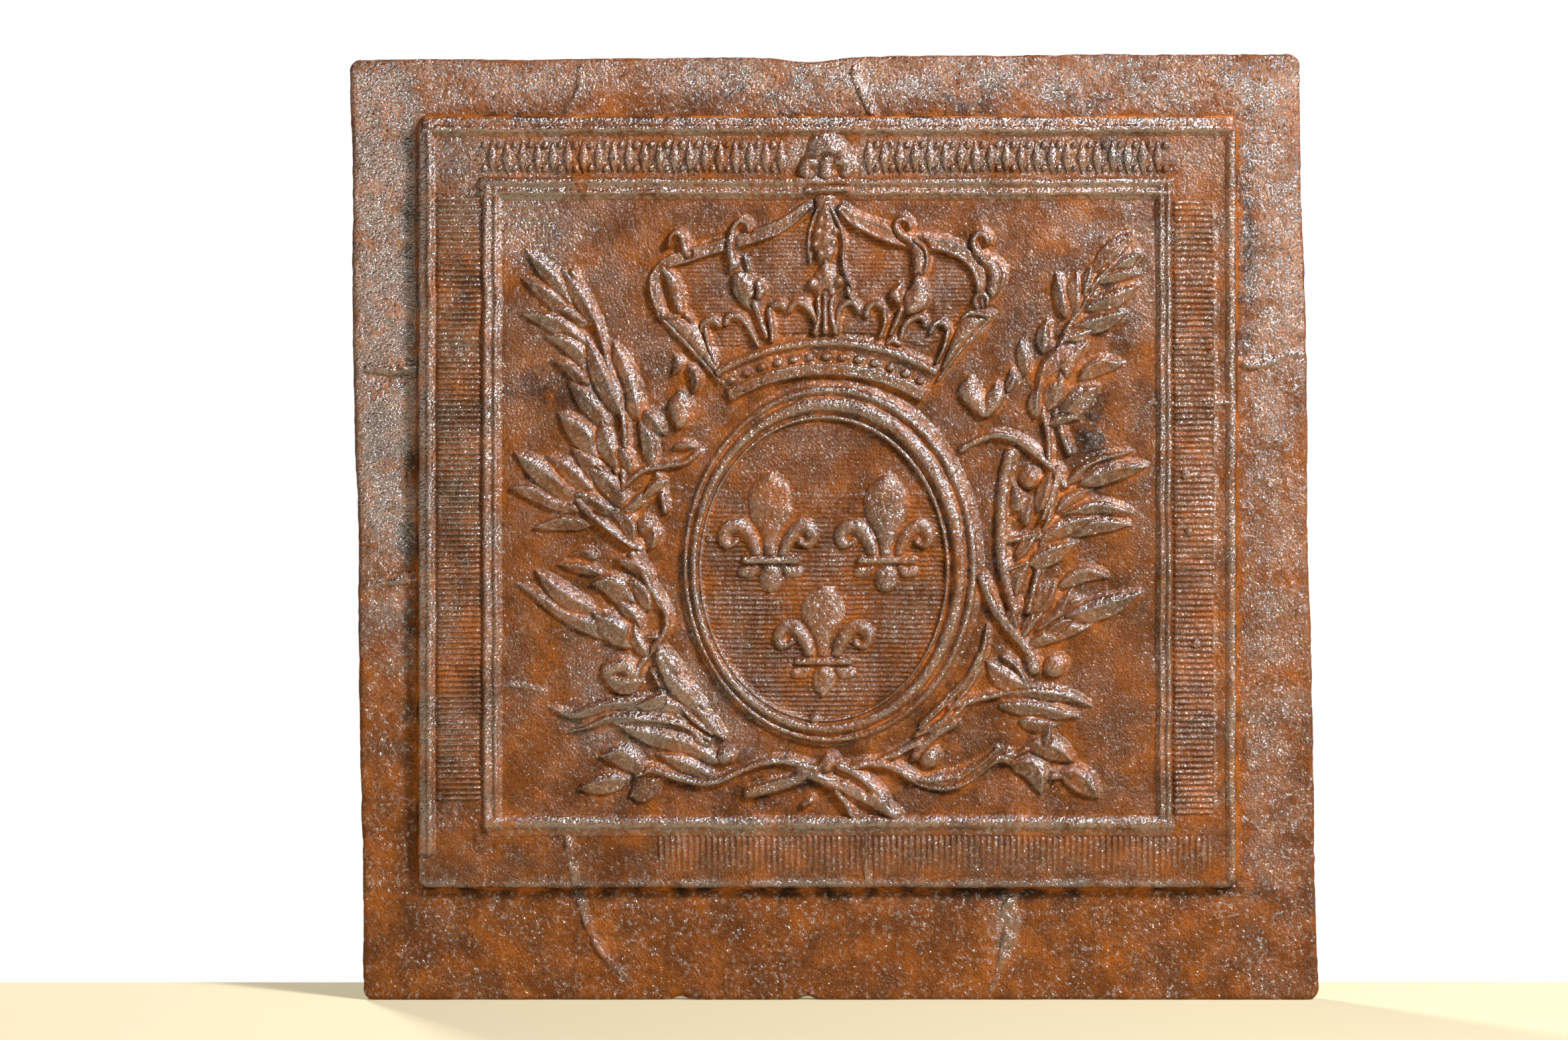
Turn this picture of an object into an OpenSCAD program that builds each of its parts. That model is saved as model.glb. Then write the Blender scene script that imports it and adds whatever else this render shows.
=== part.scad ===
// A cast-iron fireback: a near-square plate with a raised panel, framed by
// mouldings and reeded bands. On its field a crown stands over an oval shield
// of three fleurs-de-lis, between two laurel branches.
// The relief faces -Y, the plate stands on its foot, and the origin is on the
// floor under the middle of the whole piece.

/* [Plate] */
// Width of the plate along its foot
plate_w = 975; // [960:1:1020]
// How much narrower the plate is along its top edge
top_taper = 4; // [0:1:20]
// Height of the plate at its right corner
plate_h = 968; // [930:1:1100]
// How much lower the top edge's left corner is
top_fall = 6; // [0:1:15]
// How far the top edge is shifted to the left of the foot
lean = 17; // [0:1:25]
// Thickness of the plate behind the panel
plate_t = 18; // [12:1:40]
// Radius of the plate's corners
plate_r = 10; // [2:1:30]

/* [Panel and field] */
// How far the panel stands out from the plate
panel_rise = 10; // [4:0.5:18]
// Radius of the panel's corners
panel_r = 8; // [1:1:12]
// Height of the panel's lower edge above the foot
panel_z = 115; // [60:1:125]
// Width of the plain field inside the mouldings
field_w = 666; // [664:1:690]
// Height of the plain field inside the mouldings
field_h = 632; // [631:1:650]
// Middle of the field, across from the middle of the foot
field_x = -5; // [-12:1:4]
// Plain strip of the panel under the lower reeded band
foot_strip_h = 35; // [10:1:45]
// Plain strip of the panel right of the right reeded band
side_strip_w = 15; // [4:1:24]
// Band between the two upper mouldings
top_band_h = 44; // [44:1:50]
// Plain edge of the panel outside its left outer moulding
left_edge = 5; // [1:0.5:8]
// Plain edge of the panel outside its right outer moulding
right_edge = 3; // [1:0.5:8]

/* [Mouldings] */
// Width of the outer moulding along the left edge
outer_left_w = 13; // [6:1:18]
// Width of the outer moulding along the top edge
outer_top_w = 17; // [6:1:20]
// Width of the thin outer moulding along the right edge
outer_right_w = 4; // [2:0.5:8]
// Width of the inner moulding on the left and at the top
inner_w = 21; // [12:1:24]
// Width of the inner moulding on the right
inner_right_w = 17; // [12:1:24]
// Width of the inner moulding at the bottom
inner_foot_w = 18; // [12:1:24]
// How far the mouldings stand out from the panel
moulding_rise = 6.5; // [3:0.5:10]

/* [Reeded bands] */
// Width of the left reeded band
reed_left_w = 44; // [30:1:50]
// Width of the right reeded band
reed_right_w = 41; // [38:1:50]
// Width of the lower reeded band
reed_foot_w = 18; // [10:1:24]
// Length of the lower reeded band, to the right from its worn end
reed_foot_l = 517; // [300:1:600]
// Distance from one reed to the next
reed_pitch = 6; // [5:0.1:12]
// How far the reeds stand out from the panel
reed_rise = 2.4; // [1.5:0.1:4]
// Plain gap between a reeded band and the mouldings beside it
reed_gap = 2; // [1:0.5:5]

/* [Oval shield] */
// Outer width of the oval frame
frame_w = 309; // [300:1:316]
// Outer height of the oval frame
frame_h = 373; // [365:1:379]
// Width of the ground inside the oval frame
shield_w = 246; // [244:1:256]
// Height of the ground inside the oval frame
shield_h = 302; // [298:1:312]
// How far the shield lies to the left of the frame's middle
shield_off = 8.5; // [0:0.5:10]
// How far the shield lies below the frame's middle
shield_drop = 6; // [0:0.5:10]
// How far the oval frame stands out from the panel
frame_rise = 11; // [6:0.5:16]
// Distance from one hatching line to the next
hatch_pitch = 5; // [4:0.1:8]
// How far the hatching lines stand out from the panel
hatch_rise = 1.8; // [1.4:0.1:2.5]

/* [Ornament] */
// How far the fleurs-de-lis stand out from the panel
fleur_rise = 7; // [4:0.5:12]
// How far the crown stands out from the panel
crown_rise = 10; // [5:0.5:14]
// How far the laurel leaves stand out from the panel
leaf_rise = 8; // [4:0.5:12]
// How far the stems and tendrils stand out from the panel
stem_rise = 6; // [3:0.5:9]
// How far berries and buds stand out from the panel
berry_rise = 9; // [4:0.5:12]
// Radius to the outer rim of the crown's circlet
circlet_r = 225; // [222:0.5:228]
// Width of the crown's circlet between its rims' outer edges
circlet_w = 39; // [26:0.5:40]
// Number of jewels on the circlet
jewel_n = 9; // [5:1:11]
// Radius of a jewel
jewel_r = 6; // [3:0.5:7]
// Distance from one stud of the top band to the next
stud_pitch = 31; // [26:0.5:60]
// Size of a stud of the top band
stud_r = 9; // [4:0.5:12]
// Radius of the nail heads on the right reeded band
nail_r = 5.5; // [3:0.5:8]

/* [Hidden] */

// Clearance between neighbouring pieces of the relief.
gap = 0.4;
// Height of the solids that only cut.
tall = 40;
iron = "#7a4226";
worn = "#8c5a3e";
bright = "#a85a2c";
dark = "#5a3018";

// Depth, and the planes of the plate's back and front and the panel's front.
depth = plate_t + panel_rise + max(frame_rise, crown_rise, fleur_rise,
    leaf_rise, stem_rise, berry_rise, moulding_rise);
back_y = depth / 2;
plate_y = back_y - plate_t;
panel_y = plate_y - panel_rise;

// The plate's outline leans, so its foot is not quite over the origin.
half_foot = plate_w / 2;
half_top = (plate_w - top_taper) / 2;
foot_x = -(max(half_foot, half_top - lean) - max(half_foot, half_top + lean)) / 2;

// The field, and what surrounds it.
left = field_x - field_w / 2;
right = field_x + field_w / 2;
low = panel_z + foot_strip_h + reed_foot_w + reed_gap + inner_foot_w;
high = low + field_h;
panel_left = left - inner_w - reed_gap - reed_left_w - reed_gap - outer_left_w
    - left_edge;
outer_right_x = right + inner_right_w + reed_gap + reed_right_w + side_strip_w;
panel_right = outer_right_x + outer_right_w + right_edge;
band_low = high + inner_w;
panel_top = band_low + top_band_h + outer_top_w;

// The point that the relief is measured from, and how far it lies to the right
// of the field's middle and below the field. It is the foot's middle by default.
relief_right = 5;
relief_drop = 188;
design = [field_x + relief_right, low - relief_drop];
frame_at = [-2.5, 447];
shield_at = frame_at - [shield_off, shield_drop];
circlet_at = [-8, 452];
circlet_ends = [59, 120];
top_line = high - design.y;

// Finial: its axis, the width kept free for it in the upper mouldings, the
// foot of its stem, and its parts' heights over the field's upper edge.
finial_mid = -9;
finial_free_w = 52;
finial_foot = 813;
finial_stem_w = 12;
finial_collar = [42, 7];
finial_collar_z = top_line + 2;
finial_curl_r = 7;
finial_curl_off = 18;
finial_curl_z = top_line + 28;
finial_disc_r = 16.5;
finial_disc_z = top_line + 47;
// Distance from the finial's axis to the first stud of the top band.
stud_from = 45;

// Laurel branches. A leaf is [x, z] of its base, [x, z] of its tip and its
// width. A stem is its width and then its points.
left_upper_leaves = [
    [[-262, 712], [-315, 765], 14], [[-275, 712], [-318, 738], 14],
    [[-262, 700], [-318, 703], 13], [[-258, 670], [-320, 698], 18],
    [[-245, 700], [-277, 748], 12], [[-230, 622], [-252, 678], 20],
    [[-200, 612], [-226, 675], 20], [[-248, 640], [-288, 655], 12],
    [[-235, 597], [-272, 638], 18], [[-246, 565], [-282, 605], 22],
    [[-222, 550], [-234, 592], 20], [[-200, 600], [-171, 579], 14],
    [[-195, 590], [-186, 555], 12], [[-168, 565], [-142, 568], 8]];
left_upper_stems = [
    [7, [-222, 520], [-212, 560], [-222, 600], [-235, 650], [-248, 700], [-260, 725]],
    [7, [-215, 530], [-200, 543], [-170, 545], [-150, 548], [-142, 556]]];
left_middle_leaves = [
    [[-268, 525], [-322, 562], 16], [[-265, 498], [-326, 522], 18],
    [[-250, 525], [-295, 555], 16], [[-223, 505], [-252, 548], 22],
    [[-225, 490], [-265, 515], 14], [[-252, 483], [-308, 482], 14],
    [[-222, 468], [-246, 488], 14], [[-215, 503], [-190, 522], 9]];
left_middle_stems = [
    [6, [-205, 465], [-215, 480], [-232, 495], [-255, 510], [-272, 530], [-290, 555]],
    [5, [-205, 497], [-222, 500]]];
left_lower_leaves = [
    [[-250, 409], [-305, 439], 18], [[-255, 388], [-325, 428], 16],
    [[-245, 440], [-280, 448], 8], [[-215, 425], [-250, 420], 24],
    [[-200, 396], [-222, 410], 18], [[-200, 364], [-247, 396], 24],
    [[-195, 400], [-207, 430], 8], [[-200, 328], [-240, 338], 24]];
left_lower_stems = [
    [7, [-195, 348], [-183, 365], [-173, 385], [-173, 405], [-182, 420], [-195, 445],
        [-202, 458]],
    [12, [-185, 345], [-160, 315], [-130, 285], [-112, 264]],
    [6, [-195, 348], [-205, 332]], [5, [-178, 375], [-200, 372]],
    [5, [-176, 410], [-215, 425], [-250, 405]]];
left_foot_leaves = [
    [[-170, 297], [-295, 304], 14], [[-193, 243], [-240, 250], 22],
    [[-215, 225], [-262, 217], 20], [[-205, 213], [-178, 229], 20]];
left_foot_stems = [
    [10, [-140, 258], [-180, 280], [-230, 290], [-270, 275]],
    [10, [-150, 262], [-200, 272], [-225, 282]],
    [11, [-200, 230], [-190, 235], [-150, 226], [-125, 225], [-95, 236], [-60, 248]]];
right_upper_leaves = [
    [[265, 755], [303, 784], 14], [[285, 748], [312, 763], 12],
    [[275, 735], [313, 742], 12], [[262, 711], [310, 726], 16],
    [[262, 685], [298, 701], 18], [[238, 703], [230, 733], 10],
    [[248, 708], [250, 742], 16], [[212, 665], [216, 697], 10],
    [[213, 625], [255, 668], 26], [[256, 638], [293, 648], 18],
    [[222, 607], [228, 635], 20], [[235, 598], [268, 628], 22],
    [[222, 590], [250, 594], 8]];
right_upper_stems = [
    [7, [220, 560], [222, 580], [213, 605], [207, 640], [217, 668], [235, 690],
        [250, 712], [275, 745], [298, 775]],
    [6, [240, 640], [262, 640]], [6, [238, 690], [265, 690]]];
right_middle_leaves = [
    [[262, 547], [305, 563], 14], [[245, 530], [318, 550], 18],
    [[250, 500], [305, 495], 14], [[242, 478], [300, 486], 14],
    [[210, 478], [240, 490], 16], [[235, 488], [258, 495], 8],
    [[205, 450], [245, 464], 18]];
right_middle_stems = [
    [8, [130, 564], [150, 569], [175, 577], [200, 565], [218, 546], [250, 530], [268, 548]],
    [11, [175, 555], [168, 520], [165, 480], [163, 450], [166, 430], [178, 405]],
    [6, [168, 470], [210, 478], [245, 480]], [6, [166, 440], [205, 450]],
    [5, [215, 480], [250, 499]]];
right_lower_leaves = [
    [[190, 410], [195, 448], 20], [[205, 400], [222, 430], 22],
    [[235, 432], [276, 431], 12], [[250, 387], [314, 418], 20],
    [[225, 385], [222, 396], 8], [[240, 395], [236, 404], 8],
    [[197, 320], [154, 346], 22]];
right_lower_stems = [
    [8, [150, 430], [157, 415], [165, 398], [180, 378], [195, 358], [204, 345]],
    [8, [195, 358], [215, 366], [250, 387]], [6, [190, 375], [200, 395], [190, 410]],
    [6, [200, 398], [235, 432]]];
right_foot_leaves = [
    [[180, 315], [262, 302], 14], [[180, 298], [250, 291], 16],
    [[208, 264], [244, 245], 20], [[238, 233], [268, 207], 20],
    [[190, 240], [212, 211], 18]];
right_foot_stems = [
    [10, [20, 238], [30, 240], [55, 236], [80, 226], [105, 218], [130, 221], [150, 234],
        [170, 247], [190, 241], [205, 230], [238, 233]],
    [11, [60, 255], [85, 270], [110, 288], [130, 310], [148, 335], [155, 365]],
    [7, [130, 300], [165, 312], [185, 308]], [7, [190, 245], [208, 264]]];
crossing_stems = [
    [15, [-85, 213], [-38, 228]], [13, [-32, 237], [-10, 226], [20, 212], [52, 197]],
    [12, [0, 240], [20, 222], [45, 203]], [10, [-45, 246], [-20, 244], [8, 240]]];

// Berries and buds: the middle and the radius of each.
berries = [[[-192, 485], 10], [[-112, 250], 9], [[199, 533], 11], [[225, 342], 12],
    [[97, 249], 11]];
buds = [[[-157, 607], [-157, 590], 13], [[137, 622], [152, 600], 11],
    [[165, 617], [156, 600], 10]];
// Nail heads, from the lower left corner of the right reeded band.
nails = [[34, 472], [12, 349], [15, 291], [23, 177]];
nail_corner = [right + inner_right_w + reed_gap, low];

// Crown: the strands of its arches and of the fleurons on its circlet.
arches = [
    [14, [-26, 808], [-55, 790], [-90, 778], [-125, 768], [-160, 760], [-182, 742],
        [-186, 722], [-172, 702]],
    [12, [-153, 765], [-163, 778]],
    [12, [-172, 738], [-155, 708]],
    [9, [-92, 795], [-100, 780], [-107, 763], [-103, 745], [-98, 730]],
    [22, [-86, 724], [-85, 719]],
    [8, [-80, 712], [-72, 684]],
    [22, [-8, 800], [-8, 780]],
    [10, [-8, 780], [-8, 745]],
    [9, [-23, 732], [-8, 745], [6, 732]],
    [18, [-8, 735], [-8, 688]],
    [13, [9, 808], [24, 798], [45, 785], [70, 775], [95, 772], [125, 765], [145, 752],
        [164, 738], [160, 715], [150, 700]],
    [13, [143, 764], [148, 780]],
    [9, [68, 795], [80, 775], [91, 760], [88, 745], [80, 735]],
    [22, [85, 724], [84, 719]],
    [8, [80, 714], [62, 690]],
    [15, [150, 702], [120, 676]],
    [14, [-172, 700], [-145, 690], [-138, 675]]];
fleurons = [
    [12, [-132, 694], [-124, 660]],
    [10, [-124, 665], [-114, 690], [-104, 700], [-92, 692], [-86, 665]],
    [12, [-62, 704], [-62, 680]],
    [10, [-52, 680], [-42, 706], [-28, 706], [-22, 690]],
    [12, [18, 708], [22, 684]],
    [10, [34, 682], [42, 700], [50, 690], [52, 678]],
    [12, [88, 700], [92, 668]],
    [9, [104, 690], [100, 664]]];
lining_foot = 706;
lining_cells = [
    [[-146, 708], [-103, 708], [-106, 727], [-112, 744], [-116, 760], [-151, 751],
        [-156, 738]],
    [[-66, 714], [-29, 714], [-29, 738], [-15, 752], [-15, 768], [-22, 777], [-22, 790],
        [-30, 794], [-56, 780], [-92, 768], [-101, 762], [-97, 748], [-93, 740], [-80, 739],
        [-70, 731]],
    [[13, 716], [70, 716], [70, 730], [74, 739], [82, 748], [78, 760], [70, 766],
        [45, 776], [24, 788], [14, 792], [6, 789], [6, 777], [-1, 768], [-1, 752], [13, 739]],
    [[101, 704], [118, 698], [140, 711], [149, 716], [151, 733], [142, 743], [124, 756],
        [99, 763], [97, 750], [101, 735]]];
fleur_left = [[-65, 450], 85, 50];
fleur_right = [[53, 450], 85, 45];
fleur_base = [[-12, 348], 74, 46];

// ---- Shapes that repeat ----

module on_panel(at = [0, 0])
    translate([at.x, panel_y, at.y])
        rotate([90, 0, 0])
            children();

// An upright bar on the panel, of a profile given as [across, out].
module upright(x, z, l)
    translate([x, z + l, 0])
        rotate([90, 0, 0])
            linear_extrude(l)
                children();

// A level bar on the panel, of a profile given as [up, out].
module level(x, z, l)
    translate([x, z, 0])
        rotate([90, 0, 90])
            linear_extrude(l)
                children();

module moulding_profile(w, rise)
    polygon([[0, 0],
        for (t = [0.1:0.1:0.9]) [w * t, rise * (0.55 * sin(180 * t) + 0.45 * abs(sin(270 * t)))],
        [w, 0]]);

// Reeds side by side over a length, on a thin flat strip.
module reed_profile(l) {
    n = floor(l / reed_pitch);
    pitch = l / n;
    polygon([[0, 0], [0, reed_rise / 2],
        for (i = [0:n - 1])
            for (p = [[0.2, 1], [0.55, 1], [0.8, 0.5]])
                [(i + p[0]) * pitch, reed_rise * p[1]],
        [l, reed_rise / 2], [l, 0]]);
}

// Corners of an outline, each rounded with a quarter arc.
function rounded(corners, r) = [
    for (i = [0:3])
        for (a = [180:18:270])
            corners[i] + r * [[1, 1], [-1, 1], [-1, -1], [1, -1]][i]
                + r * [cos(a + 90 * i), sin(a + 90 * i)]];

function oval(w, h, n = 72) = [
    for (i = [0:n - 1])
        [w / 2 * cos(360 * i / n), h / 2 * sin(360 * i / n)]];

module knob(at, r, rise)
    translate(at)
        cylinder(h = rise, r1 = r, r2 = 0.45 * r, $fn = 10);

module strand(s, rise)
    for (i = [1:len(s) - 2])
        hull() {
            knob(s[i], s[0] / 2, rise);
            knob(s[i + 1], s[0] / 2, rise);
        }

module strand_plan(s, grow)
    for (i = [1:len(s) - 2])
        hull()
            for (p = [s[i], s[i + 1]])
                translate(p)
                    circle(r = s[0] / 2 + grow, $fn = 10);

// A pointed leaf with a ridge along its middle.
module leaf(l, rise) {
    run = l[1] - l[0];
    long = norm(run);
    half = l[2] / 2;
    translate(l[0])
        rotate(atan2(run.y, run.x))
            hull() {
                linear_extrude(rise * 0.25)
                    leaf_plan(long, half);
                linear_extrude(rise)
                    polygon([[long * 0.15, 0], [long * 0.45, half * 0.3],
                        [long * 0.85, 0], [long * 0.45, -half * 0.3]]);
            }
}

module leaf_plan(long, half)
    polygon([[0, -half * 0.25], [0, half * 0.25], [long * 0.35, half],
        [long * 0.7, half * 0.65], [long, 0], [long * 0.7, -half * 0.65],
        [long * 0.35, -half]]);

module leaf_mark(l, grow) {
    run = l[1] - l[0];
    translate(l[0])
        rotate(atan2(run.y, run.x))
            offset(delta = grow)
                leaf_plan(norm(run), l[2] / 2);
}

module spray_plan(leaves, stems, grow) {
    for (l = leaves)
        leaf_mark(l, grow);
    for (s = stems)
        strand_plan(s, grow);
}

module berry_plan(grow) {
    for (b = berries)
        translate(b[0])
            circle(r = b[1] + grow, $fn = 32);
    for (b = buds)
        hull() {
            translate(b[0])
                circle(r = b[2] + grow, $fn = 32);
            translate(b[1])
                circle(r = b[2] * 0.6 + grow, $fn = 32);
        }
}

// Leaves and stems as one piece. It is cut clear of the oval frame and the
// berries, kept inside the field, and cut clear of what children() draws.
module spray(leaves, stems)
    on_panel(design)
        color(worn)
            difference() {
                union() {
                    for (l = leaves)
                        leaf(l, leaf_rise);
                    for (s = stems)
                        strand(s, stem_rise);
                }
                translate([0, 0, -tall / 2])
                    linear_extrude(tall) {
                        translate(frame_at)
                            polygon(oval(frame_w + 2 * gap, frame_h + 2 * gap));
                        berry_plan(gap);
                        difference() {
                            square(4 * field_w, center = true);
                            translate([left + gap, low + gap] - design)
                                square([field_w - 2 * gap, field_h - 2 * gap]);
                        }
                        children();
                    }
            }

// A fleur-de-lis on the hatched ground: the middle of its bar, the height of
// its middle lobe over the bar and how far its side lobes reach out.
module fleur(f) {
    rise = fleur_rise - hatch_rise;
    on_panel(design)
        color(bright)
            translate([f[0].x, f[0].y, hatch_rise]) {
                fleur_lobes(f[1], rise);
                for (side = [-1, 1])
                    fleur_side(side, f[2], rise);
                strand([8, [-24, 0], [24, 0]], rise);
            }
}

module fleur_lobes(lobe, rise) {
    for (ends = [
            [[0, lobe], 3, 0.5, [0, lobe * 0.68], 21, 1],
            [[0, lobe * 0.68], 20, 1, [0, 4], 7, 1],
            [[0, 2], 8, 1, [0, -12], 8, 1],
            [[0, -8], 8, 1, [0, -29], 3, 0.5]])
        hull() {
            knob(ends[0], ends[1], rise * ends[2]);
            knob(ends[3], ends[4], rise * ends[5]);
        }
}

module fleur_side(side, reach, rise) {
    strand([12, [side * 8, 4], [side * 22, 28], [side * reach * 0.7, 41], [side * reach, 34],
        [side * reach * 0.94, 22], [side * reach * 0.74, 19]], rise);
    strand([9, [side * 12, -2], [side * 25, -12]], rise);
}

// Level hatching lines on the outline that children() draws, over a thin
// ground of the same outline.
module hatched(z_from, z_to) {
    linear_extrude(hatch_rise / 2)
        children();
    linear_extrude(hatch_rise)
        intersection() {
            children();
            for (z = [z_from:hatch_pitch:z_to])
                translate([-field_w / 2, z])
                    square([field_w, hatch_pitch * 0.45]);
        }
}

// ---- Plate and panel ----

module base_plate() {
    corners = [[-half_foot, 0], [half_foot, 0], [half_top - lean, plate_h],
        [-half_top - lean, plate_h - top_fall]];
    color(iron)
        translate([foot_x, back_y, 0])
            rotate([90, 0, 0])
                linear_extrude(plate_t)
                    polygon(rounded(corners, plate_r));
}

module raised_panel() {
    corners = [[panel_left, panel_z], [panel_right, panel_z], [panel_right, panel_top],
        [panel_left, panel_top]];
    color(worn)
        translate([0, plate_y, 0])
            rotate([90, 0, 0])
                linear_extrude(panel_rise)
                    polygon(rounded(corners, panel_r));
}

// ---- Mouldings ----

module outer_moulding_top()
    color(bright)
        on_panel()
            level(panel_left + panel_r, panel_top - outer_top_w,
                    panel_right - panel_left - 2 * panel_r)
                moulding_profile(outer_top_w, moulding_rise);

module outer_moulding_left()
    color(worn)
        on_panel()
            upright(panel_left + left_edge, panel_z + panel_r,
                    panel_top - outer_top_w - panel_z - panel_r)
                moulding_profile(outer_left_w, moulding_rise);

module outer_moulding_right()
    color(worn)
        on_panel()
            upright(outer_right_x, panel_z + panel_r,
                    panel_top - outer_top_w - panel_z - panel_r)
                moulding_profile(outer_right_w, moulding_rise / 2);

// The finial stands in a gap of this one, so it is two lengths.
module inner_moulding_top()
    color(worn)
        on_panel()
            for (span = [[left - inner_w, design.x + finial_mid - finial_free_w / 2],
                    [design.x + finial_mid + finial_free_w / 2, right + inner_right_w]])
                level(span[0], high, span[1] - span[0])
                    moulding_profile(inner_w, moulding_rise);

module inner_moulding_left()
    color(worn)
        on_panel()
            upright(left - inner_w, low, field_h)
                moulding_profile(inner_w, moulding_rise);

module inner_moulding_right()
    color(worn)
        on_panel()
            upright(right, low, field_h)
                moulding_profile(inner_right_w, moulding_rise);

module inner_moulding_foot()
    color(bright)
        on_panel()
            level(left - inner_w, low - inner_foot_w, inner_w + field_w + inner_right_w)
                moulding_profile(inner_foot_w, moulding_rise);

// ---- Reeded bands ----

module reeded_band_left()
    color(iron)
        on_panel()
            level(left - inner_w - reed_gap - reed_left_w, low, reed_left_w)
                reed_profile(field_h);

module reeded_band_right()
    color(iron)
        on_panel()
            difference() {
                level(nail_corner.x, nail_corner.y, reed_right_w)
                    reed_profile(field_h);
                for (n = nails)
                    translate([nail_corner.x + n.x, nail_corner.y + n.y, -tall / 2])
                        cylinder(h = tall, r = nail_r + gap, $fn = 32);
            }

module reeded_band_foot()
    color(iron)
        on_panel()
            upright(right + inner_right_w + reed_gap + reed_right_w - reed_foot_l,
                    panel_z + foot_strip_h, reed_foot_w)
                reed_profile(reed_foot_l);

// ---- Small pieces on the frame ----

// Lozenges and pellets in turn along the top band, clear of the finial.
module top_band_studs() {
    middle = band_low + top_band_h / 2;
    color(worn)
        on_panel()
            for (side = [-1, 1])
                for (i = [0:floor((field_w / 2 - stud_from) / stud_pitch)])
                    translate([design.x + finial_mid + side * (stud_from + i * stud_pitch),
                            middle])
                        if (i % 2 == 0)
                            cylinder(h = moulding_rise / 2, r = stud_r * 0.6, $fn = 32);
                        else
                            linear_extrude(moulding_rise / 2)
                                polygon([[-stud_r, 0], [0, -stud_r], [stud_r, 0], [0, stud_r]]);
}

module nail_heads()
    color(dark)
        on_panel()
            for (n = nails)
                translate(nail_corner + n)
                    cylinder(h = reed_rise * 2, r = nail_r, $fn = 32);

// ---- Oval shield ----

// The frame's section runs from the ground's edge to the outer edge: a slope,
// a ridge, a hollow, a broad round and a thin outer bead.
frame_section = [[0, 0.15], [0.2, 0.6], [0.32, 0.7], [0.4, 0.5], [0.6, 1], [0.8, 0.8],
    [0.88, 0.35], [0.95, 0.4], [1, 0.15]];

module oval_frame() {
    n = 72;
    outer = oval(frame_w, frame_h, n);
    inner = [for (p = oval(shield_w + 2 * gap, shield_h + 2 * gap, n)) p + shield_at - frame_at];
    m = len(frame_section);
    rings = [
        [for (i = [0:n - 1]) [inner[i].x, inner[i].y, 0]],
        for (s = frame_section)
            [for (i = [0:n - 1])
                let (p = inner[i] * (1 - s[0]) + outer[i] * s[0])
                    [p.x, p.y, s[1] * frame_rise]],
        [for (i = [0:n - 1]) [outer[i].x, outer[i].y, 0]]];
    count = m + 2;
    faces = [
        for (j = [0:count - 1])
            for (i = [0:n - 1])
                let (a = j * n + i, b = j * n + (i + 1) % n, k = (j + 1) % count)
                    [a, b, k * n + (i + 1) % n, k * n + i]];
    color(worn)
        on_panel(design)
            translate(frame_at)
                polyhedron([for (r = rings) each r], faces, convexity = 6);
}

module shield_ground()
    color(dark)
        on_panel(design)
            hatched(shield_at.y - shield_h / 2 + 2, shield_at.y + shield_h / 2)
                translate(shield_at)
                    polygon(oval(shield_w, shield_h));

module fleur_de_lis_left() fleur(fleur_left);
module fleur_de_lis_right() fleur(fleur_right);
module fleur_de_lis_base() fleur(fleur_base);

// ---- Crown ----

module on_circlet()
    on_panel(design)
        translate(circlet_at)
            children();

// Two rims with a sunk frieze between them.
module crown_circlet() {
    outer = circlet_r;
    inner = circlet_r - circlet_w;
    color(worn)
        on_circlet()
            rotate(circlet_ends[0])
                rotate_extrude(angle = circlet_ends[1] - circlet_ends[0], $fn = 180)
                    polygon([[inner, 0], [outer, 0], [outer, crown_rise * 0.7],
                        [outer - 6, crown_rise * 0.8], [outer - 8, crown_rise * 0.4],
                        [inner + 8, crown_rise * 0.4], [inner + 6, crown_rise * 0.8],
                        [inner, crown_rise * 0.7]]);
}

module crown_jewels() {
    step = (circlet_ends[1] - circlet_ends[0]) / jewel_n;
    color(bright)
        on_circlet()
            for (i = [0:jewel_n - 1])
                rotate(circlet_ends[0] + step * (i + 0.5))
                    translate([circlet_r - circlet_w / 2, 0, crown_rise * 0.4])
                        cylinder(h = crown_rise * 0.35,
                            r = min(jewel_r, circlet_w / 2 - 8 - gap), $fn = 32);
}

module circlet_mark(grow)
    translate(circlet_at)
        circle(r = circlet_r + grow, $fn = 180);

module arches_mark(grow)
    for (s = arches)
        strand_plan(s, grow);

module crown_arches()
    on_panel(design)
        color(worn)
            difference() {
                union()
                    for (s = arches)
                        strand(s, crown_rise);
                translate([0, 0, -tall / 2])
                    linear_extrude(tall) {
                        circlet_mark(gap);
                        translate([-field_w / 2, finial_foot - gap])
                            square([field_w, field_h]);
                    }
            }

module crown_fleurons()
    on_panel(design)
        color(worn)
            difference() {
                union()
                    for (s = fleurons)
                        strand(s, crown_rise * 0.8);
                translate([0, 0, -tall / 2])
                    linear_extrude(tall) {
                        circlet_mark(gap);
                        arches_mark(gap);
                    }
            }

// The cap that shows in the openings between the arches.
module crown_lining()
    on_panel(design)
        color(dark)
            for (cell = lining_cells)
                hatched(lining_foot, finial_foot)
                    polygon(cell);

// Disc, two curls and collar, over a stem that crosses the moulding.
module crown_finial()
    color(bright)
        on_panel(design)
            translate([finial_mid, 0]) {
                translate([0, finial_disc_z])
                    cylinder(h = crown_rise, r = finial_disc_r, $fn = 64);
                for (side = [-1, 1])
                    translate([side * finial_curl_off, finial_curl_z])
                        cylinder(h = crown_rise * 0.7, r = finial_curl_r, $fn = 32);
                translate([-finial_collar.x / 2, finial_collar_z, 0])
                    cube([finial_collar.x, finial_collar.y, crown_rise * 0.8]);
                translate([-finial_stem_w / 2, finial_foot, 0])
                    cube([finial_stem_w, finial_disc_z - finial_foot, crown_rise * 0.6]);
            }

// ---- Laurel branches ----

module laurel_left_upper()
    spray(left_upper_leaves, left_upper_stems)
        arches_mark(gap);

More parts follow.
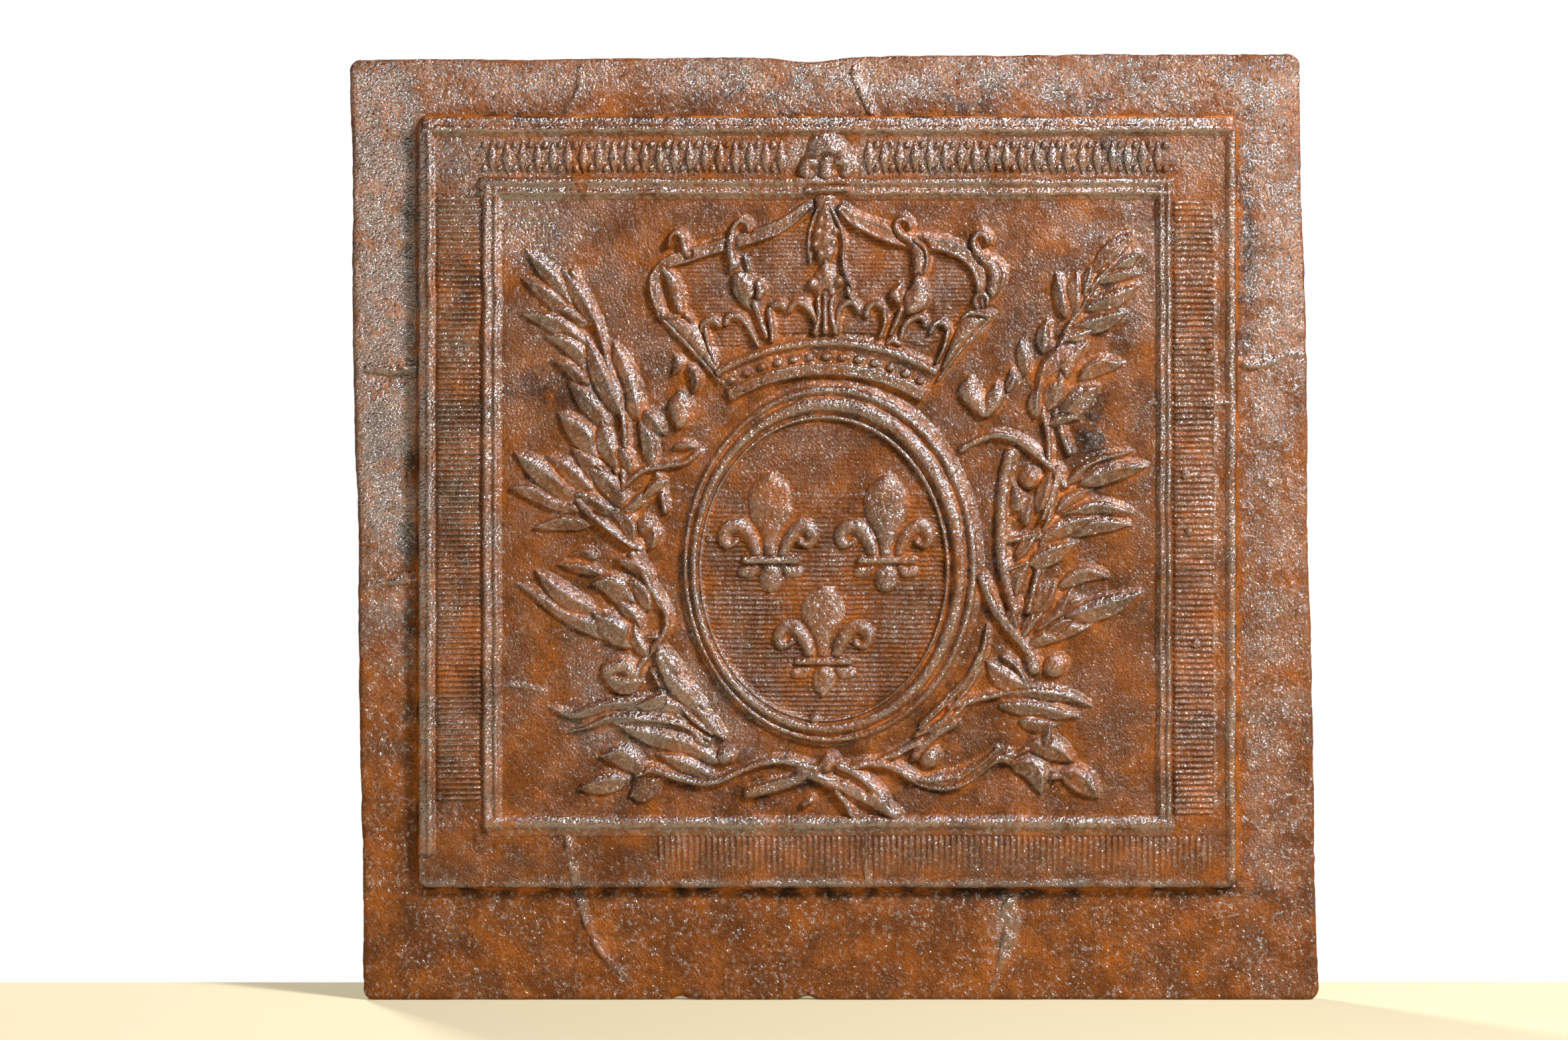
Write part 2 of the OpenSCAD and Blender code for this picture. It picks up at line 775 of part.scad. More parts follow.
module laurel_left_middle()
    spray(left_middle_leaves, left_middle_stems)
        spray_plan(left_upper_leaves, left_upper_stems, gap);

module laurel_left_lower()
    spray(left_lower_leaves, left_lower_stems)
        spray_plan(left_middle_leaves, left_middle_stems, gap);

module laurel_left_foot()
    spray(left_foot_leaves, left_foot_stems)
        spray_plan(left_lower_leaves, left_lower_stems, gap);

module laurel_right_upper()
    spray(right_upper_leaves, right_upper_stems)
        arches_mark(gap);

module laurel_right_middle()
    spray(right_middle_leaves, right_middle_stems)
        spray_plan(right_upper_leaves, right_upper_stems, gap);

module laurel_right_lower()
    spray(right_lower_leaves, right_lower_stems)
        spray_plan(right_middle_leaves, right_middle_stems, gap);

module laurel_right_foot()
    spray(right_foot_leaves, right_foot_stems)
        spray_plan(right_lower_leaves, right_lower_stems, gap);

module crossed_stems()
    spray([], crossing_stems) {
        spray_plan(left_foot_leaves, left_foot_stems, gap);
        spray_plan(right_foot_leaves, right_foot_stems, gap);
    }

module laurel_berries()
    color(bright)
        on_panel(design)
            for (b = berries)
                translate(b[0])
                    cylinder(h = berry_rise, r1 = b[1], r2 = b[1] * 0.6, $fn = 32);

module laurel_buds()
    color(bright)
        on_panel(design)
            for (b = buds)
                hull() {
                    knob(b[0], b[2], berry_rise);
                    knob(b[1], b[2] * 0.6, berry_rise * 0.8);
                }

base_plate();
raised_panel();
outer_moulding_top();
outer_moulding_left();
outer_moulding_right();
inner_moulding_top();
inner_moulding_left();
inner_moulding_right();
inner_moulding_foot();
reeded_band_left();
reeded_band_right();
reeded_band_foot();
top_band_studs();
nail_heads();
oval_frame();
shield_ground();
fleur_de_lis_left();
fleur_de_lis_right();
fleur_de_lis_base();
crown_circlet();
crown_jewels();
crown_fleurons();
crown_arches();
crown_lining();
crown_finial();
laurel_left_upper();
laurel_left_middle();
laurel_left_lower();
laurel_left_foot();
laurel_right_upper();
laurel_right_middle();
laurel_right_lower();
laurel_right_foot();
crossed_stems();
laurel_berries();
laurel_buds();
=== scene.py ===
import bpy
import numpy as np
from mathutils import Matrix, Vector


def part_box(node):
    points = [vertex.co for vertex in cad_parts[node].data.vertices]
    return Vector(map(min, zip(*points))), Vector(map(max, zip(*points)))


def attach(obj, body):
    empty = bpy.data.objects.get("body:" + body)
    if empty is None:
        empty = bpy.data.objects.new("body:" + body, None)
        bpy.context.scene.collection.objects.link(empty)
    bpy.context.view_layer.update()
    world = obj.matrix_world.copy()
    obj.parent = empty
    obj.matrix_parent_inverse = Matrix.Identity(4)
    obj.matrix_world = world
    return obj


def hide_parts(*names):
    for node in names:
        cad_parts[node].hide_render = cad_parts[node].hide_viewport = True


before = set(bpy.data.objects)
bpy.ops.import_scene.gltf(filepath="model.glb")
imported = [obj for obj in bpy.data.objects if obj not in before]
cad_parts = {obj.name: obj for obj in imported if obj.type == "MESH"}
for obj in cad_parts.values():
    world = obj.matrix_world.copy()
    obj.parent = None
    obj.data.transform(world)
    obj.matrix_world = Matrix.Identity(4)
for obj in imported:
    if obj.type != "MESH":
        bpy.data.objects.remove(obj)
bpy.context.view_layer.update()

scene = bpy.context.scene
mm = 0.001

# ---- Camera, floor and lamps ----

view = {"across": -51, "height": 491, "distance": 3500, "width": 1604, "sensor": 36}

plateLow, plateHigh = [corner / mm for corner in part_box("base_plate")]
panelLow, panelHigh = [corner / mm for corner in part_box("raised_panel")]
backY, plateY, panelY = plateHigh.y, plateLow.y, panelLow.y


def addCamera():
    lens = bpy.data.cameras.new("camera")
    lens.sensor_width = view["sensor"]
    lens.lens = view["sensor"] * view["distance"] / view["width"]
    camera = bpy.data.objects.new("camera", lens)
    camera.location = Vector((view["across"], plateY - view["distance"], view["height"])) * mm
    camera.rotation_euler = (np.pi / 2, 0, 0)
    scene.collection.objects.link(camera)
    scene.camera = camera


def srgb(hexText):
    # hex sRGB to the linear colour that sockets take
    parts = [int(hexText[i:i + 2], 16) / 255 for i in (1, 3, 5)]
    return [p / 12.92 if p < 0.04045 else ((p + 0.055) / 1.055) ** 2.4 for p in parts] + [1]


def addNode(tree, kind, settings=None, links=None):
    # a node with its settings, and its sockets linked or set
    node = tree.nodes.new(kind)
    for key, value in (settings or {}).items():
        setattr(node, key, value)
    for key, value in (links or {}).items():
        if isinstance(value, bpy.types.NodeSocket):
            tree.links.new(value, node.inputs[key])
        else:
            node.inputs[key].default_value = value
    return node


def maths(tree, kind, a, b=0.0, c=0.0, clamp=False):
    # one step of arithmetic in any tree
    return addNode(tree, "ShaderNodeMath", {"operation": kind, "use_clamp": clamp},
        {0: a, 1: b, 2: c}).outputs[0]


def newMaterial(name):
    material = bpy.data.materials.new(name)
    material.use_nodes = True
    material.node_tree.nodes.clear()
    return material, material.node_tree


lamps = {
    # name: where it hangs (mm), its size (mm) and its power (W)
    "key": {"at": (2650, -2300, 3250), "size": 380, "power": 190},
    "window": {"at": (2650, -2300, 3250), "size": 1250, "power": 140},
    "left": {"at": (-2900, -1900, 1500), "size": 300, "power": 12},
    "front": {"at": (-900, -3600, 2300), "size": 600, "power": 2.5},
    "behind": {"at": (-1900, 3000, 2600), "size": 700, "power": 150},
}
room = {
    # strength of the world's own light, and the share of the white room that the wax mirrors
    "daylight": 0.04, "mirrored": 0.04,
    # the floor's colour, and the share of it that is seen whatever the light
    "floor": "#e2d6b4", "floorGlow": 0.2,
    # how far the floor reaches behind the plate, in front of it and to each side, mm
    "behind": 134, "before": 4500, "aside": 3000,
    # what the lamps point at, mm
    "middle": (0, 0, 480),
}


def addLamps():
    for name, lamp in lamps.items():
        light = bpy.data.lights.new(name, "AREA")
        light.size = lamp["size"] * mm
        light.energy = lamp["power"]
        bulb = bpy.data.objects.new(name, light)
        bulb.location = Vector(lamp["at"]) * mm
        aim = Vector(room["middle"]) * mm - bulb.location
        bulb.rotation_euler = aim.to_track_quat("-Z", "Y").to_euler()
        scene.collection.objects.link(bulb)


def seenShare(tree, mirrored):
    # 1 for what the camera and glass see, and "mirrored" for what a glossy surface reflects
    path = addNode(tree, "ShaderNodeLightPath").outputs
    clear = maths(tree, "MAXIMUM", path["Is Camera Ray"], path["Is Transmission Ray"])
    glossy = maths(tree, "MULTIPLY", path["Is Glossy Ray"], mirrored)
    return maths(tree, "MAXIMUM", clear, glossy)


def addWorld():
    # the camera and glass see a white room, and the waxed rust mirrors it faintly
    world = scene.world or bpy.data.worlds.new("world")
    scene.world = world
    world.use_nodes = True
    tree = world.node_tree
    tree.nodes.clear()
    white = srgb("#ffffff")
    lit, seen = [addNode(tree, "ShaderNodeBackground", None, {"Color": white,
        "Strength": strength}).outputs[0] for strength in (room["daylight"], 1)]
    mixed = addNode(tree, "ShaderNodeMixShader", None,
        {0: seenShare(tree, room["mirrored"]), 1: lit, 2: seen})
    addNode(tree, "ShaderNodeOutputWorld", None, {"Surface": mixed.outputs[0]})


def paleMaterial(name, colour, glow):
    # matt paint or board, as pale as a studio sweep
    material, tree = newMaterial(name)
    matt = addNode(tree, "ShaderNodeBsdfDiffuse", None, {"Color": srgb(colour)})
    white = addNode(tree, "ShaderNodeEmission", None, {"Color": srgb(colour), "Strength": 1})
    both = addNode(tree, "ShaderNodeMixShader", None, {0: maths(tree, "MULTIPLY",
        seenShare(tree, 1), glow), 1: matt.outputs[0], 2: white.outputs[0]})
    addNode(tree, "ShaderNodeOutputMaterial", None, {"Surface": both.outputs[0]})
    return material


def addStage():
    near, far = (plateY - room["before"]) * mm, (plateY + room["behind"]) * mm
    side = room["aside"] * mm
    mesh = bpy.data.meshes.new("floor")
    mesh.from_pydata([(-side, near, 0), (side, near, 0), (side, far, 0), (-side, far, 0)], [],
        [(0, 1, 2, 3)])
    mesh.materials.append(paleMaterial("paleFloor", room["floor"], room["floorGlow"]))
    floor = bpy.data.objects.new("floor", mesh)
    scene.collection.objects.link(floor)


addCamera()
addLamps()
addWorld()
addStage()
print("camera, lamps and stage are in place")

# ---- Cast iron with waxed brown rust ----
# Sand-cast iron, rusted brown and then waxed: a gritty skin that glints, powdery orange rust
# left in the hollows and grey-brown metal rubbed bare on top.
# the colour also holds painted light: painted shade in creases and on the lower left of forms, and
# painted highlights and glints on their upper-right edges

rust = {
    # colours, then the wax's share where it is dull and where it is rubbed, how matt the wax
    # is, how high the bumps are (mm), the lumps' part in them, and the share of waxed specks
    "plate": {"brown": "#9a5415", "deep": "#6a380f", "orange": "#b2641e", "grey": "#503a2a",
        "black": "#281409", "paintedGlint": "#e4ded8", "wax": (0.03, 0.95), "matt": 0.12,
        "bumps": 2.7, "lumps": 1.0, "specks": 0.55},
    "panel": {"brown": "#925018", "deep": "#643610", "orange": "#b2641e", "grey": "#4e3625",
        "black": "#241208", "paintedGlint": "#e0dad4", "wax": (0.02, 0.85), "matt": 0.12,
        "bumps": 2.5, "lumps": 1.0, "specks": 0.35},
    "relief": {"brown": "#925017", "deep": "#643710", "orange": "#c0691a", "grey": "#533a27",
        "black": "#27140a", "paintedGlint": "#e8e2dc", "wax": (0.18, 0.95), "matt": 0.1,
        "bumps": 1.8, "lumps": 0.8, "specks": 0.5},
}
patches = {
    # each pattern's size (mm), detail and roughness, and the values that it is spread between
    "tone": (90, 6, 0.62, 0.24, 0.76),
    "dusty": (26, 3, 0.6, 0.24, 0.52),
    "dust": (44, 4, 0.6, 0.46, 0.7),
    "rubbedAndLit": (38, 5, 0.6, 0.3, 0.62),
    "sootyAndShaded": (30, 5, 0.55, 0.36, 0.64),
    "speck": (4, 1, 0.5, 0.5, 0.7),
}
surface = {
    # one grain makes the bumps, the pits and the glints; real sand is finer than this, which
    # is as fine as the picture shows. From crest to crest, and the lumps between, mm
    "grain": 2.4, "lump": 9,
    # the grain's values over which a pit and a painted glint come up, and how a pit fills with dirt
    "pit": (0.48, 0.34), "paintedGlint": (0.56, 0.68), "pitFill": (0.1, 0.9, 0.3),
    # shares: dust away from hollows, least rubbing, grey tint, painted glints, the wax's gain from
    # rubbing and its loss to dust
    "dusting": 0.3, "leastRubbed": 0.35, "greying": 0.38, "paintedGlinting": 0.12, "polish": 1.3,
    "dulling": 0.4,
    # the gloss at which the wax starts and is whole, and the rust's share of the bumps
    "gloss": (0.1, 1.05), "rustBumps": 0.55,
    "roughness": 0.7, "specular": 0.08, "waxIndex": 2.9,
}


def perMetre(size):
    # texture scale for a pattern whose features are size mm apart
    return 1000 / size


def rustMaterial(slotName, look):
    material, tree = newMaterial(slotName + "_cast")
    place = addNode(tree, "ShaderNodeTexCoord").outputs["Object"]
    wear = addNode(tree, "ShaderNodeAttribute", {"attribute_name": "wearAndPaintedLight"})
    parts = addNode(tree, "ShaderNodeSeparateColor", None, {"Color": wear.outputs["Color"]})
    # the wear colour carries rust in the hollows (red), rubbed wear with a painted highlight on the
    # upper-right edges (green), and soot with painted shade in creases and beside the panel (blue)
    hollow, greyAndLit, sootAndShade = [parts.outputs[n] for n in ("Red", "Green", "Blue")]

    def cloud(size, detail, rough):
        return addNode(tree, "ShaderNodeTexNoise", None, {"Vector": place,
            "Scale": perMetre(size), "Detail": detail, "Roughness": rough}).outputs["Fac"]

    def spread(value, low, high, least=0.0, most=1.0, kind="SMOOTHSTEP"):
        return addNode(tree, "ShaderNodeMapRange", {"interpolation_type": kind},
            {"Value": value, "From Min": low, "From Max": high, "To Min": least,
            "To Max": most}).outputs[0]

    def patch(kind, least=0.0):
        size, detail, rough, low, high = patches[kind]
        return spread(cloud(size, detail, rough), low, high, least)

    def times(a, b):
        return maths(tree, "MULTIPLY", a, b, clamp=True)

    def plus(a, b):
        return maths(tree, "ADD", a, b, clamp=True)

    def tint(share, under, over):
        over = srgb(over) if isinstance(over, str) else over
        under = srgb(under) if isinstance(under, str) else under
        return addNode(tree, "ShaderNodeMix", {"data_type": "RGBA"},
            {0: share, 6: under, 7: over}).outputs[2]

    sand, lumps = cloud(surface["grain"], 2, 0.6), cloud(surface["lump"], 2, 0.5)
    dust = plus(times(patch("dust"), surface["dusting"]), times(hollow, patch("dusty")))
    rubbedAndLit = times(patch("rubbedAndLit", surface["leastRubbed"]), greyAndLit)
    sootyAndShaded = times(patch("sootyAndShaded"), sootAndShade)
    pit = times(spread(sand, *surface["pit"]),
        spread(greyAndLit, *surface["pitFill"], kind="LINEAR"))
    # painted glints: near-white colour on the grain's crests where rubbed, a painted highlight beside
    # the wax's real glints
    paintedGlint = times(spread(sand, *surface["paintedGlint"]), times(rubbedAndLit, surface["paintedGlinting"]))

    colour = tint(patch("tone"), look["deep"], look["brown"])
    colour = tint(dust, colour, look["orange"])
    # a grey tint where rubbed, and as a painted highlight on the lit upper-right edges
    colour = tint(times(rubbedAndLit, surface["greying"]), colour, look["grey"])
    # soot and painted shade darken the colour towards black
    colour = tint(sootyAndShaded, colour, look["black"])
    colour = tint(pit, colour, look["black"])
    colour = tint(paintedGlint, colour, look["paintedGlint"])

    # waxed metal is glossy where rubbed and on the lit upper-right edges, and the powdery rust is matt
    gloss = plus(times(rubbedAndLit, surface["polish"]), times(patch("speck"), look["specks"]))
    gloss = maths(tree, "SUBTRACT", gloss, times(dust, surface["dulling"]), clamp=True)
    wax = spread(gloss, *surface["gloss"], *look["wax"])
    grain = maths(tree, "MULTIPLY_ADD", lumps, look["lumps"], sand)
    # the wax lies over the grain and takes all of it, the powdery rust under it shows less
    grained, waxed = [addNode(tree, "ShaderNodeBump", None, {"Strength": 1,
        "Distance": share * look["bumps"] * mm, "Height": grain}).outputs[0]
        for share in (surface["rustBumps"], 1)]
    shader = addNode(tree, "ShaderNodeBsdfPrincipled", None, {"Base Color": colour,
        "Roughness": surface["roughness"], "Metallic": 0,
        "Specular IOR Level": surface["specular"], "Coat Weight": wax,
        "Coat Roughness": look["matt"], "Coat IOR": surface["waxIndex"], "Normal": grained,
        "Coat Normal": waxed})
    addNode(tree, "ShaderNodeOutputMaterial", None, {"Surface": shader.outputs[0]})
    return material


materials = {part: rustMaterial("rusted_" + part, rust[part]) for part in rust}
print("materials are made")

# ---- Unevenness that every piece shares, so that they stay one casting ----

casting = {
    # height, size across (mm) and seed of each kind of hill in the cast skin
    "skin": [(1.2, 120, 7), (0.7, 46, 18), (0.42, 17, 29), (0.36, 7, 40)],
    # the same for the side walls, and how far each row of a wall moves along the hills
    "wallSkin": [(0.5, 8, 31)], "wallShift": 40,
}


def hills(x, z, size, seed):
    # smooth random hills from -1 to 1
    lattice = np.random.RandomState(seed).rand(256, 256) * 2 - 1
    u, v = x / size + 600, z / size + 600
    i, j = np.floor(u).astype(int), np.floor(v).astype(int)
    fu, fv = u - i, v - j
    fu, fv = fu * fu * (3 - 2 * fu), fv * fv * (3 - 2 * fv)
    i, j, iNext, jNext = i % 256, j % 256, (i + 1) % 256, (j + 1) % 256
    lower = lattice[j, i] * (1 - fu) + lattice[j, iNext] * fu
    upper = lattice[jNext, i] * (1 - fu) + lattice[jNext, iNext] * fu
    return lower * (1 - fv) + upper * fv


def ripple(x, z, waves):
    # the sum of several waves, each with its height and size across in mm and its seed
    return sum(height * hills(x, z, size, seed) for height, size, seed in waves)


def castWave(x, z):
    # how far the cast skin stands out of true, mm
    return ripple(x, z, casting["skin"])


def meshFrom(name, points, faces, material):
    mesh = bpy.data.meshes.new(name)
    mesh.from_pydata((np.asarray(points) * mm).tolist(), [], faces)
    mesh.materials.append(material)
    mesh.polygons.foreach_set("use_smooth", [True] * len(mesh.polygons))
    mesh.update()
    return mesh


def closeSheet(points, faces, back, plain=False):
    # walls and a flat back behind an open sheet that faces the front, mm; the back of a plain
    # sheet is one face, and otherwise it repeats the sheet's own
    count = len(points)
    faces = [list(face) for face in faces]
    edges = dict.fromkeys(edge for face in faces for edge in zip(face, face[1:] + face[:1]))
    rim = [edge for edge in edges if (edge[1], edge[0]) not in edges]
    behind = np.array(points)
    behind[:, 1] = back
    if not plain:
        walls = [[b, a, a + count, b + count] for a, b in rim]
        backs = [[n + count for n in reversed(face)] for face in faces]
        return np.vstack([points, behind]), faces + walls + backs
    follow = dict(rim)
    loop = [rim[0][0]]
    while follow[loop[-1]] != loop[0]:
        loop.append(follow[loop[-1]])
    place = {n: count + k for k, n in enumerate(loop)}
    walls = [[b, a, place[a], place[b]] for a, b in rim]
    return np.vstack([points, behind[loop]]), faces + walls + [[place[n] for n in reversed(loop)]]


pieces = []


def keepPiece(name, points, faces, nodes, part):
    # points in mm; the piece is dressed and fastened to the frame at the end
    pieces.append({"name": name, "points": np.asarray(points, float), "faces": faces,
        "nodes": nodes, "part": part})


# ---- Plate and panel ----

plate = {
    "size": (975, 965), "corners": [(-480, 0), (495, 0), (476, 968), (-495, 962)],
    "pitch": 2.3, "radius": 11, "arris": 2.6, "arrisReach": 4.5, "hiddenBy": 18,
    # how far in from the rim the outline's waves reach, and their strength
    "hem": 16, "edgeWave": 0.8,
    # waves as height, size across and seed: long ones, read at "swayAt", and ripples of x and
    # of z, and the skin's own
    "swayAt": (1, 5), "swayX": [(3.2, 120, 3)], "ripplesX": [(0.5, 21, 4), (0.35, 6, 8)],
    "swayZ": [(1.6, 90, 5)], "ripplesZ": [(0.4, 21, 6), (0.35, 6, 9)], "skin": [(0.25, 3.6, 21)],
    # worn dips of the outline: x, z, reach and depth
    "dips": [(-25, 965, 32, 5), (-157, 0, 9, 4), (-27, 0, 8, 4), (-300, 962, 60, 1.5)],
    "dipHeight": 14,
    # soft hollows of the margin: x, z, half width, half height, depth
    "hollows": [(-437, 500, 9, 330, 1.6), (424, 640, 8, 250, 1.0), (-465, 640, 30, 9, 1.2)],
    # the plain back: its cells in cells of the front, how far it is sunk, and its waves
    "backPitch": 5, "backDip": 0.4, "backSkin": [(0.7, 60, 41), (0.4, 22, 42)],
}
panel = {
    "size": (833, 785), "corners": [(-424, 116), (409, 116), (409, 899), (-424, 902)],
    "pitch": 2.9, "radius": 12, "arris": 1.8, "arrisReach": 3.5, "draft": 4,
    "hem": 14, "edgeWave": 0.7,
    "swayAt": (3, 8), "swayX": [(1, 80, 13)], "ripplesX": [(0.5, 11, 14)],
    "swayZ": [(1, 70, 15)], "ripplesZ": [(0.5, 11, 16)], "skin": [(0.2, 4.2, 22)],
}


def lines(span, pitch, quick=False):
    # where a grid's lines run, finer next to both edges
    first = [0, 0.7, 1.8, 3.4]
    count = int((span - 7) / (pitch * (2 if quick else 1)))
    middle = np.linspace(5, span - 5, count)
    return np.concatenate([first, middle, span - np.array(first[::-1])]) / span


def cornered(u, v, corners):
    # a point of the four-cornered outline, u and v from 0 to 1
    (ax, az), (bx, bz), (cx, cz), (dx, dz) = corners
    x = (ax * (1 - u) + bx * u) * (1 - v) + (dx * (1 - u) + cx * u) * v
    z = (az * (1 - u) + bz * u) * (1 - v) + (dz * (1 - u) + cz * u) * v
    return x, z


def roundCorners(u, v, wide, high, radius):
    # draws the grid in at its four corners, so that its rim follows an arc
    a = np.clip((radius - np.minimum(u, 1 - u) * wide) / radius, 0, 1)
    b = np.clip((radius - np.minimum(v, 1 - v) * high) / radius, 0, 1)
    far = np.hypot(a, b)
    share = np.where(far > 0, np.maximum(a, b) / np.maximum(far, 1e-9), 1)
    moveU = a * (1 - share) * radius / wide
    moveV = b * (1 - share) * radius / high
    return u + np.where(u < 0.5, moveU, -moveU), v + np.where(v < 0.5, moveV, -moveV)


def slabGrid(slab):
    # the grid over a slab's outline: x, z, its shares u and v, how far its outline wanders
    # at each point, and the way to the rim
    wide, high = slab["size"]
    u, v = np.meshgrid(lines(wide, slab["pitch"]), lines(high, slab["pitch"]))
    toRim = np.minimum(np.minimum(u, 1 - u) * wide, np.minimum(v, 1 - v) * high)
    u, v = roundCorners(u, v, wide, high, slab["radius"])
    x, z = cornered(u, v, slab["corners"])
    return x, z, u, v, slab["edgeWave"] * np.clip(1 - toRim / slab["hem"], 0, 1), toRim


def slabFront(slab, level, x, z, toRim):
    # the cast skin in front of a slab, rounded off at the rim
    skin = level - castWave(x, z) - ripple(x, z, slab["skin"])
    return skin + slab["arris"] * np.clip(1 - toRim / slab["arrisReach"], 0, 1) ** 2


def rimOf(index, r0, r1, c0, c1):
    # the points round a block of a grid, anticlockwise as seen from the front
    return np.concatenate([index[r0, c0:c1], index[r0:r1, c1], index[r1, c1:c0:-1],
        index[r1:r0:-1, c0]]).tolist()


def frontFaces(x, z, index, hidden):
    # a face for each cell; one flat face closes those that are hidden
    quads = np.stack([index[:-1, :-1], index[:-1, 1:], index[1:, 1:], index[1:, :-1]], 2)
    if not hidden:
        return quads.reshape(-1, 4).tolist()
    left, right, foot, head = hidden
    centreX, centreZ = [(way[:-1, :-1] + way[1:, 1:]) / 2 for way in (x, z)]
    covered = (centreX > left) & (centreX < right) & (centreZ > foot) & (centreZ < head)
    rows, columns = np.where(covered)
    hole = rimOf(index, rows.min(), rows.max() + 1, columns.min(), columns.max() + 1)
    return quads[~covered].tolist() + [hole]


def coarseBack(x, z, index, place, total, slab):
    # a coarser grid whose outer cells take in every point of the rim, which is in "place"
    rowLines, columnLines = [sorted({*range(0, count, slab["backPitch"]), count - 1})
        for count in index.shape]
    crossings = index[np.ix_(rowLines[1:-1], columnLines[1:-1])].ravel()
    place.update({n: total + k for k, n in enumerate(crossings.tolist())})
    x, z = x.ravel()[crossings], z.ravel()[crossings]
    y = backY - slab["backDip"] - ripple(x, z, slab["backSkin"])
    cells = [rimOf(index, r0, r1, c0, c1) for r0, r1 in zip(rowLines, rowLines[1:])
        for c0, c1 in zip(columnLines, columnLines[1:])]
    faces = [[place[n] for n in reversed(cell) if n in place] for cell in cells]
    return np.stack([x, y, z], 1), faces


def slabPiece(name, grid, walls, nodes, part, hidden=None, slab=None):
    # a front skin, side walls as rows of level and outward reach, and a back, which is one
    # flat face unless a slab is given for its coarse grid
    x, y, z = grid
    index = np.arange(x.size).reshape(x.shape)
    points = [np.stack([x.ravel(), y.ravel(), z.ravel()], 1)]
    faces = frontFaces(x, z, index, hidden)
    loop = rimOf(index, 0, x.shape[0] - 1, 0, x.shape[1] - 1)
    rim = points[0][loop]
    outward = np.roll(rim, -1, 0) - np.roll(rim, 1, 0)
    outward = np.stack([outward[:, 2], 0 * outward[:, 0], -outward[:, 0]], 1)
    outward /= np.maximum(np.linalg.norm(outward, axis=1, keepdims=True), 1e-6)
    total, previous = x.size, loop
    for step, (level, reach) in enumerate(walls):
        rough = ripple(rim[:, 0] + casting["wallShift"] * step, rim[:, 2], casting["wallSkin"])
        ring = rim + outward * (reach + rough)[:, None]
        ring[:, 2] = np.maximum(ring[:, 2], min(0.0, rim[:, 2].min()))
        ring[:, 1] = level
        points.append(ring)
        current = list(range(total, total + len(loop)))
        total += len(loop)
        following = zip(previous[1:] + previous[:1], previous, current, current[1:] + current[:1])
        faces += [list(face) for face in following]
        previous = current
    if slab:
        inner, cells = coarseBack(x, z, index, dict(zip(loop, previous)), total, slab)
        points.append(inner)
        faces += cells
    else:
        faces.append(previous[::-1])
    keepPiece(name, np.vstack(points), faces, nodes, part)


def makePlate():
    x, z, u, v, hem, toRim = slabGrid(plate)
    atX, atZ = plate["swayAt"]
    x = x + hem * (ripple(atX, z, plate["swayX"]) * (u - 0.5) + ripple(x, z, plate["ripplesX"]))
    # the foot stays level
    z = z + hem * (ripple(x, atZ, plate["swayZ"]) * (v - 0.5)
        + ripple(x, z, plate["ripplesZ"])) * (v > 0.02)
    for dipX, dipZ, reach, depth in plate["dips"]:
        near = depth * np.exp(-((x - dipX) / reach) ** 2 - ((z - dipZ) / plate["dipHeight"]) ** 2)
        z = z + near * (1 if dipZ < 100 else -1)
    y = slabFront(plate, plateY, x, z, toRim)
    for hollowX, hollowZ, halfW, halfH, depth in plate["hollows"]:
        y = y + depth * np.exp(-((x - hollowX) / halfW) ** 2 - ((z - hollowZ) / halfH) ** 4)
    inset = plate["hiddenBy"]
    hidden = (panelLow.x + inset, panelHigh.x - inset, panelLow.z + inset, panelHigh.z - inset)
    walls = [(plateY + 5, 0.6), (plateY + 9, 1), (plateY + 13, 0.9), (backY - 1, 0.4),
        (backY, -0.6)]
    slabPiece("plateSkin", (x, y, z), walls, ["base_plate"], "plate", hidden, plate)


def makePanel():
    x, z, _, _, hem, toRim = slabGrid(panel)
    atX, atZ = panel["swayAt"]
    x = x + hem * (ripple(atX, z, panel["swayX"]) + ripple(x, z, panel["ripplesX"]))
    z = z + hem * (ripple(x, atZ, panel["swayZ"]) + ripple(x, z, panel["ripplesZ"]))
    y = slabFront(panel, panelY, x, z, toRim)
    draft = panel["draft"]
    walls = [(panelY + 3.5, draft * 0.2), (panelY + 6.5, draft * 0.5), (plateY - 0.5, draft),
        (plateY + 2.5, draft)]
    slabPiece("panelSkin", (x, y, z), walls, ["raised_panel"], "panel")


makePlate()
makePanel()
print("plate and panel are made")

# ---- Strips whose section repeats: mouldings, reeds and hatching ----


def newTree(name, inputs):
    # a tree with the inputs that are named, and the sockets that give them
    tree = bpy.data.node_groups.new(name, "GeometryNodeTree")
    for label, kind in inputs.items():
        tree.interface.new_socket(name=label, in_out="INPUT", socket_type="NodeSocket" + kind)
    tree.interface.new_socket(name="Geometry", in_out="OUTPUT", socket_type="NodeSocketGeometry")
    return tree, addNode(tree, "NodeGroupInput").outputs


def endTree(tree, geometry, finish):
    single = addNode(tree, "GeometryNodeRealizeInstances", None, {0: geometry})
    dressed = addNode(tree, "GeometryNodeSetMaterial", None, {"Geometry": single.outputs[0],
        "Material": finish})
    addNode(tree, "NodeGroupOutput", None, {"Geometry": dressed.outputs[0]})
    return tree


wornAway = {
    # texture scale of the wear, the value where it starts, its strength, and the least that
    # it leaves of a line's height
    "scale": 32, "from": 0.3, "strength": 2.2, "least": 0.12,
}


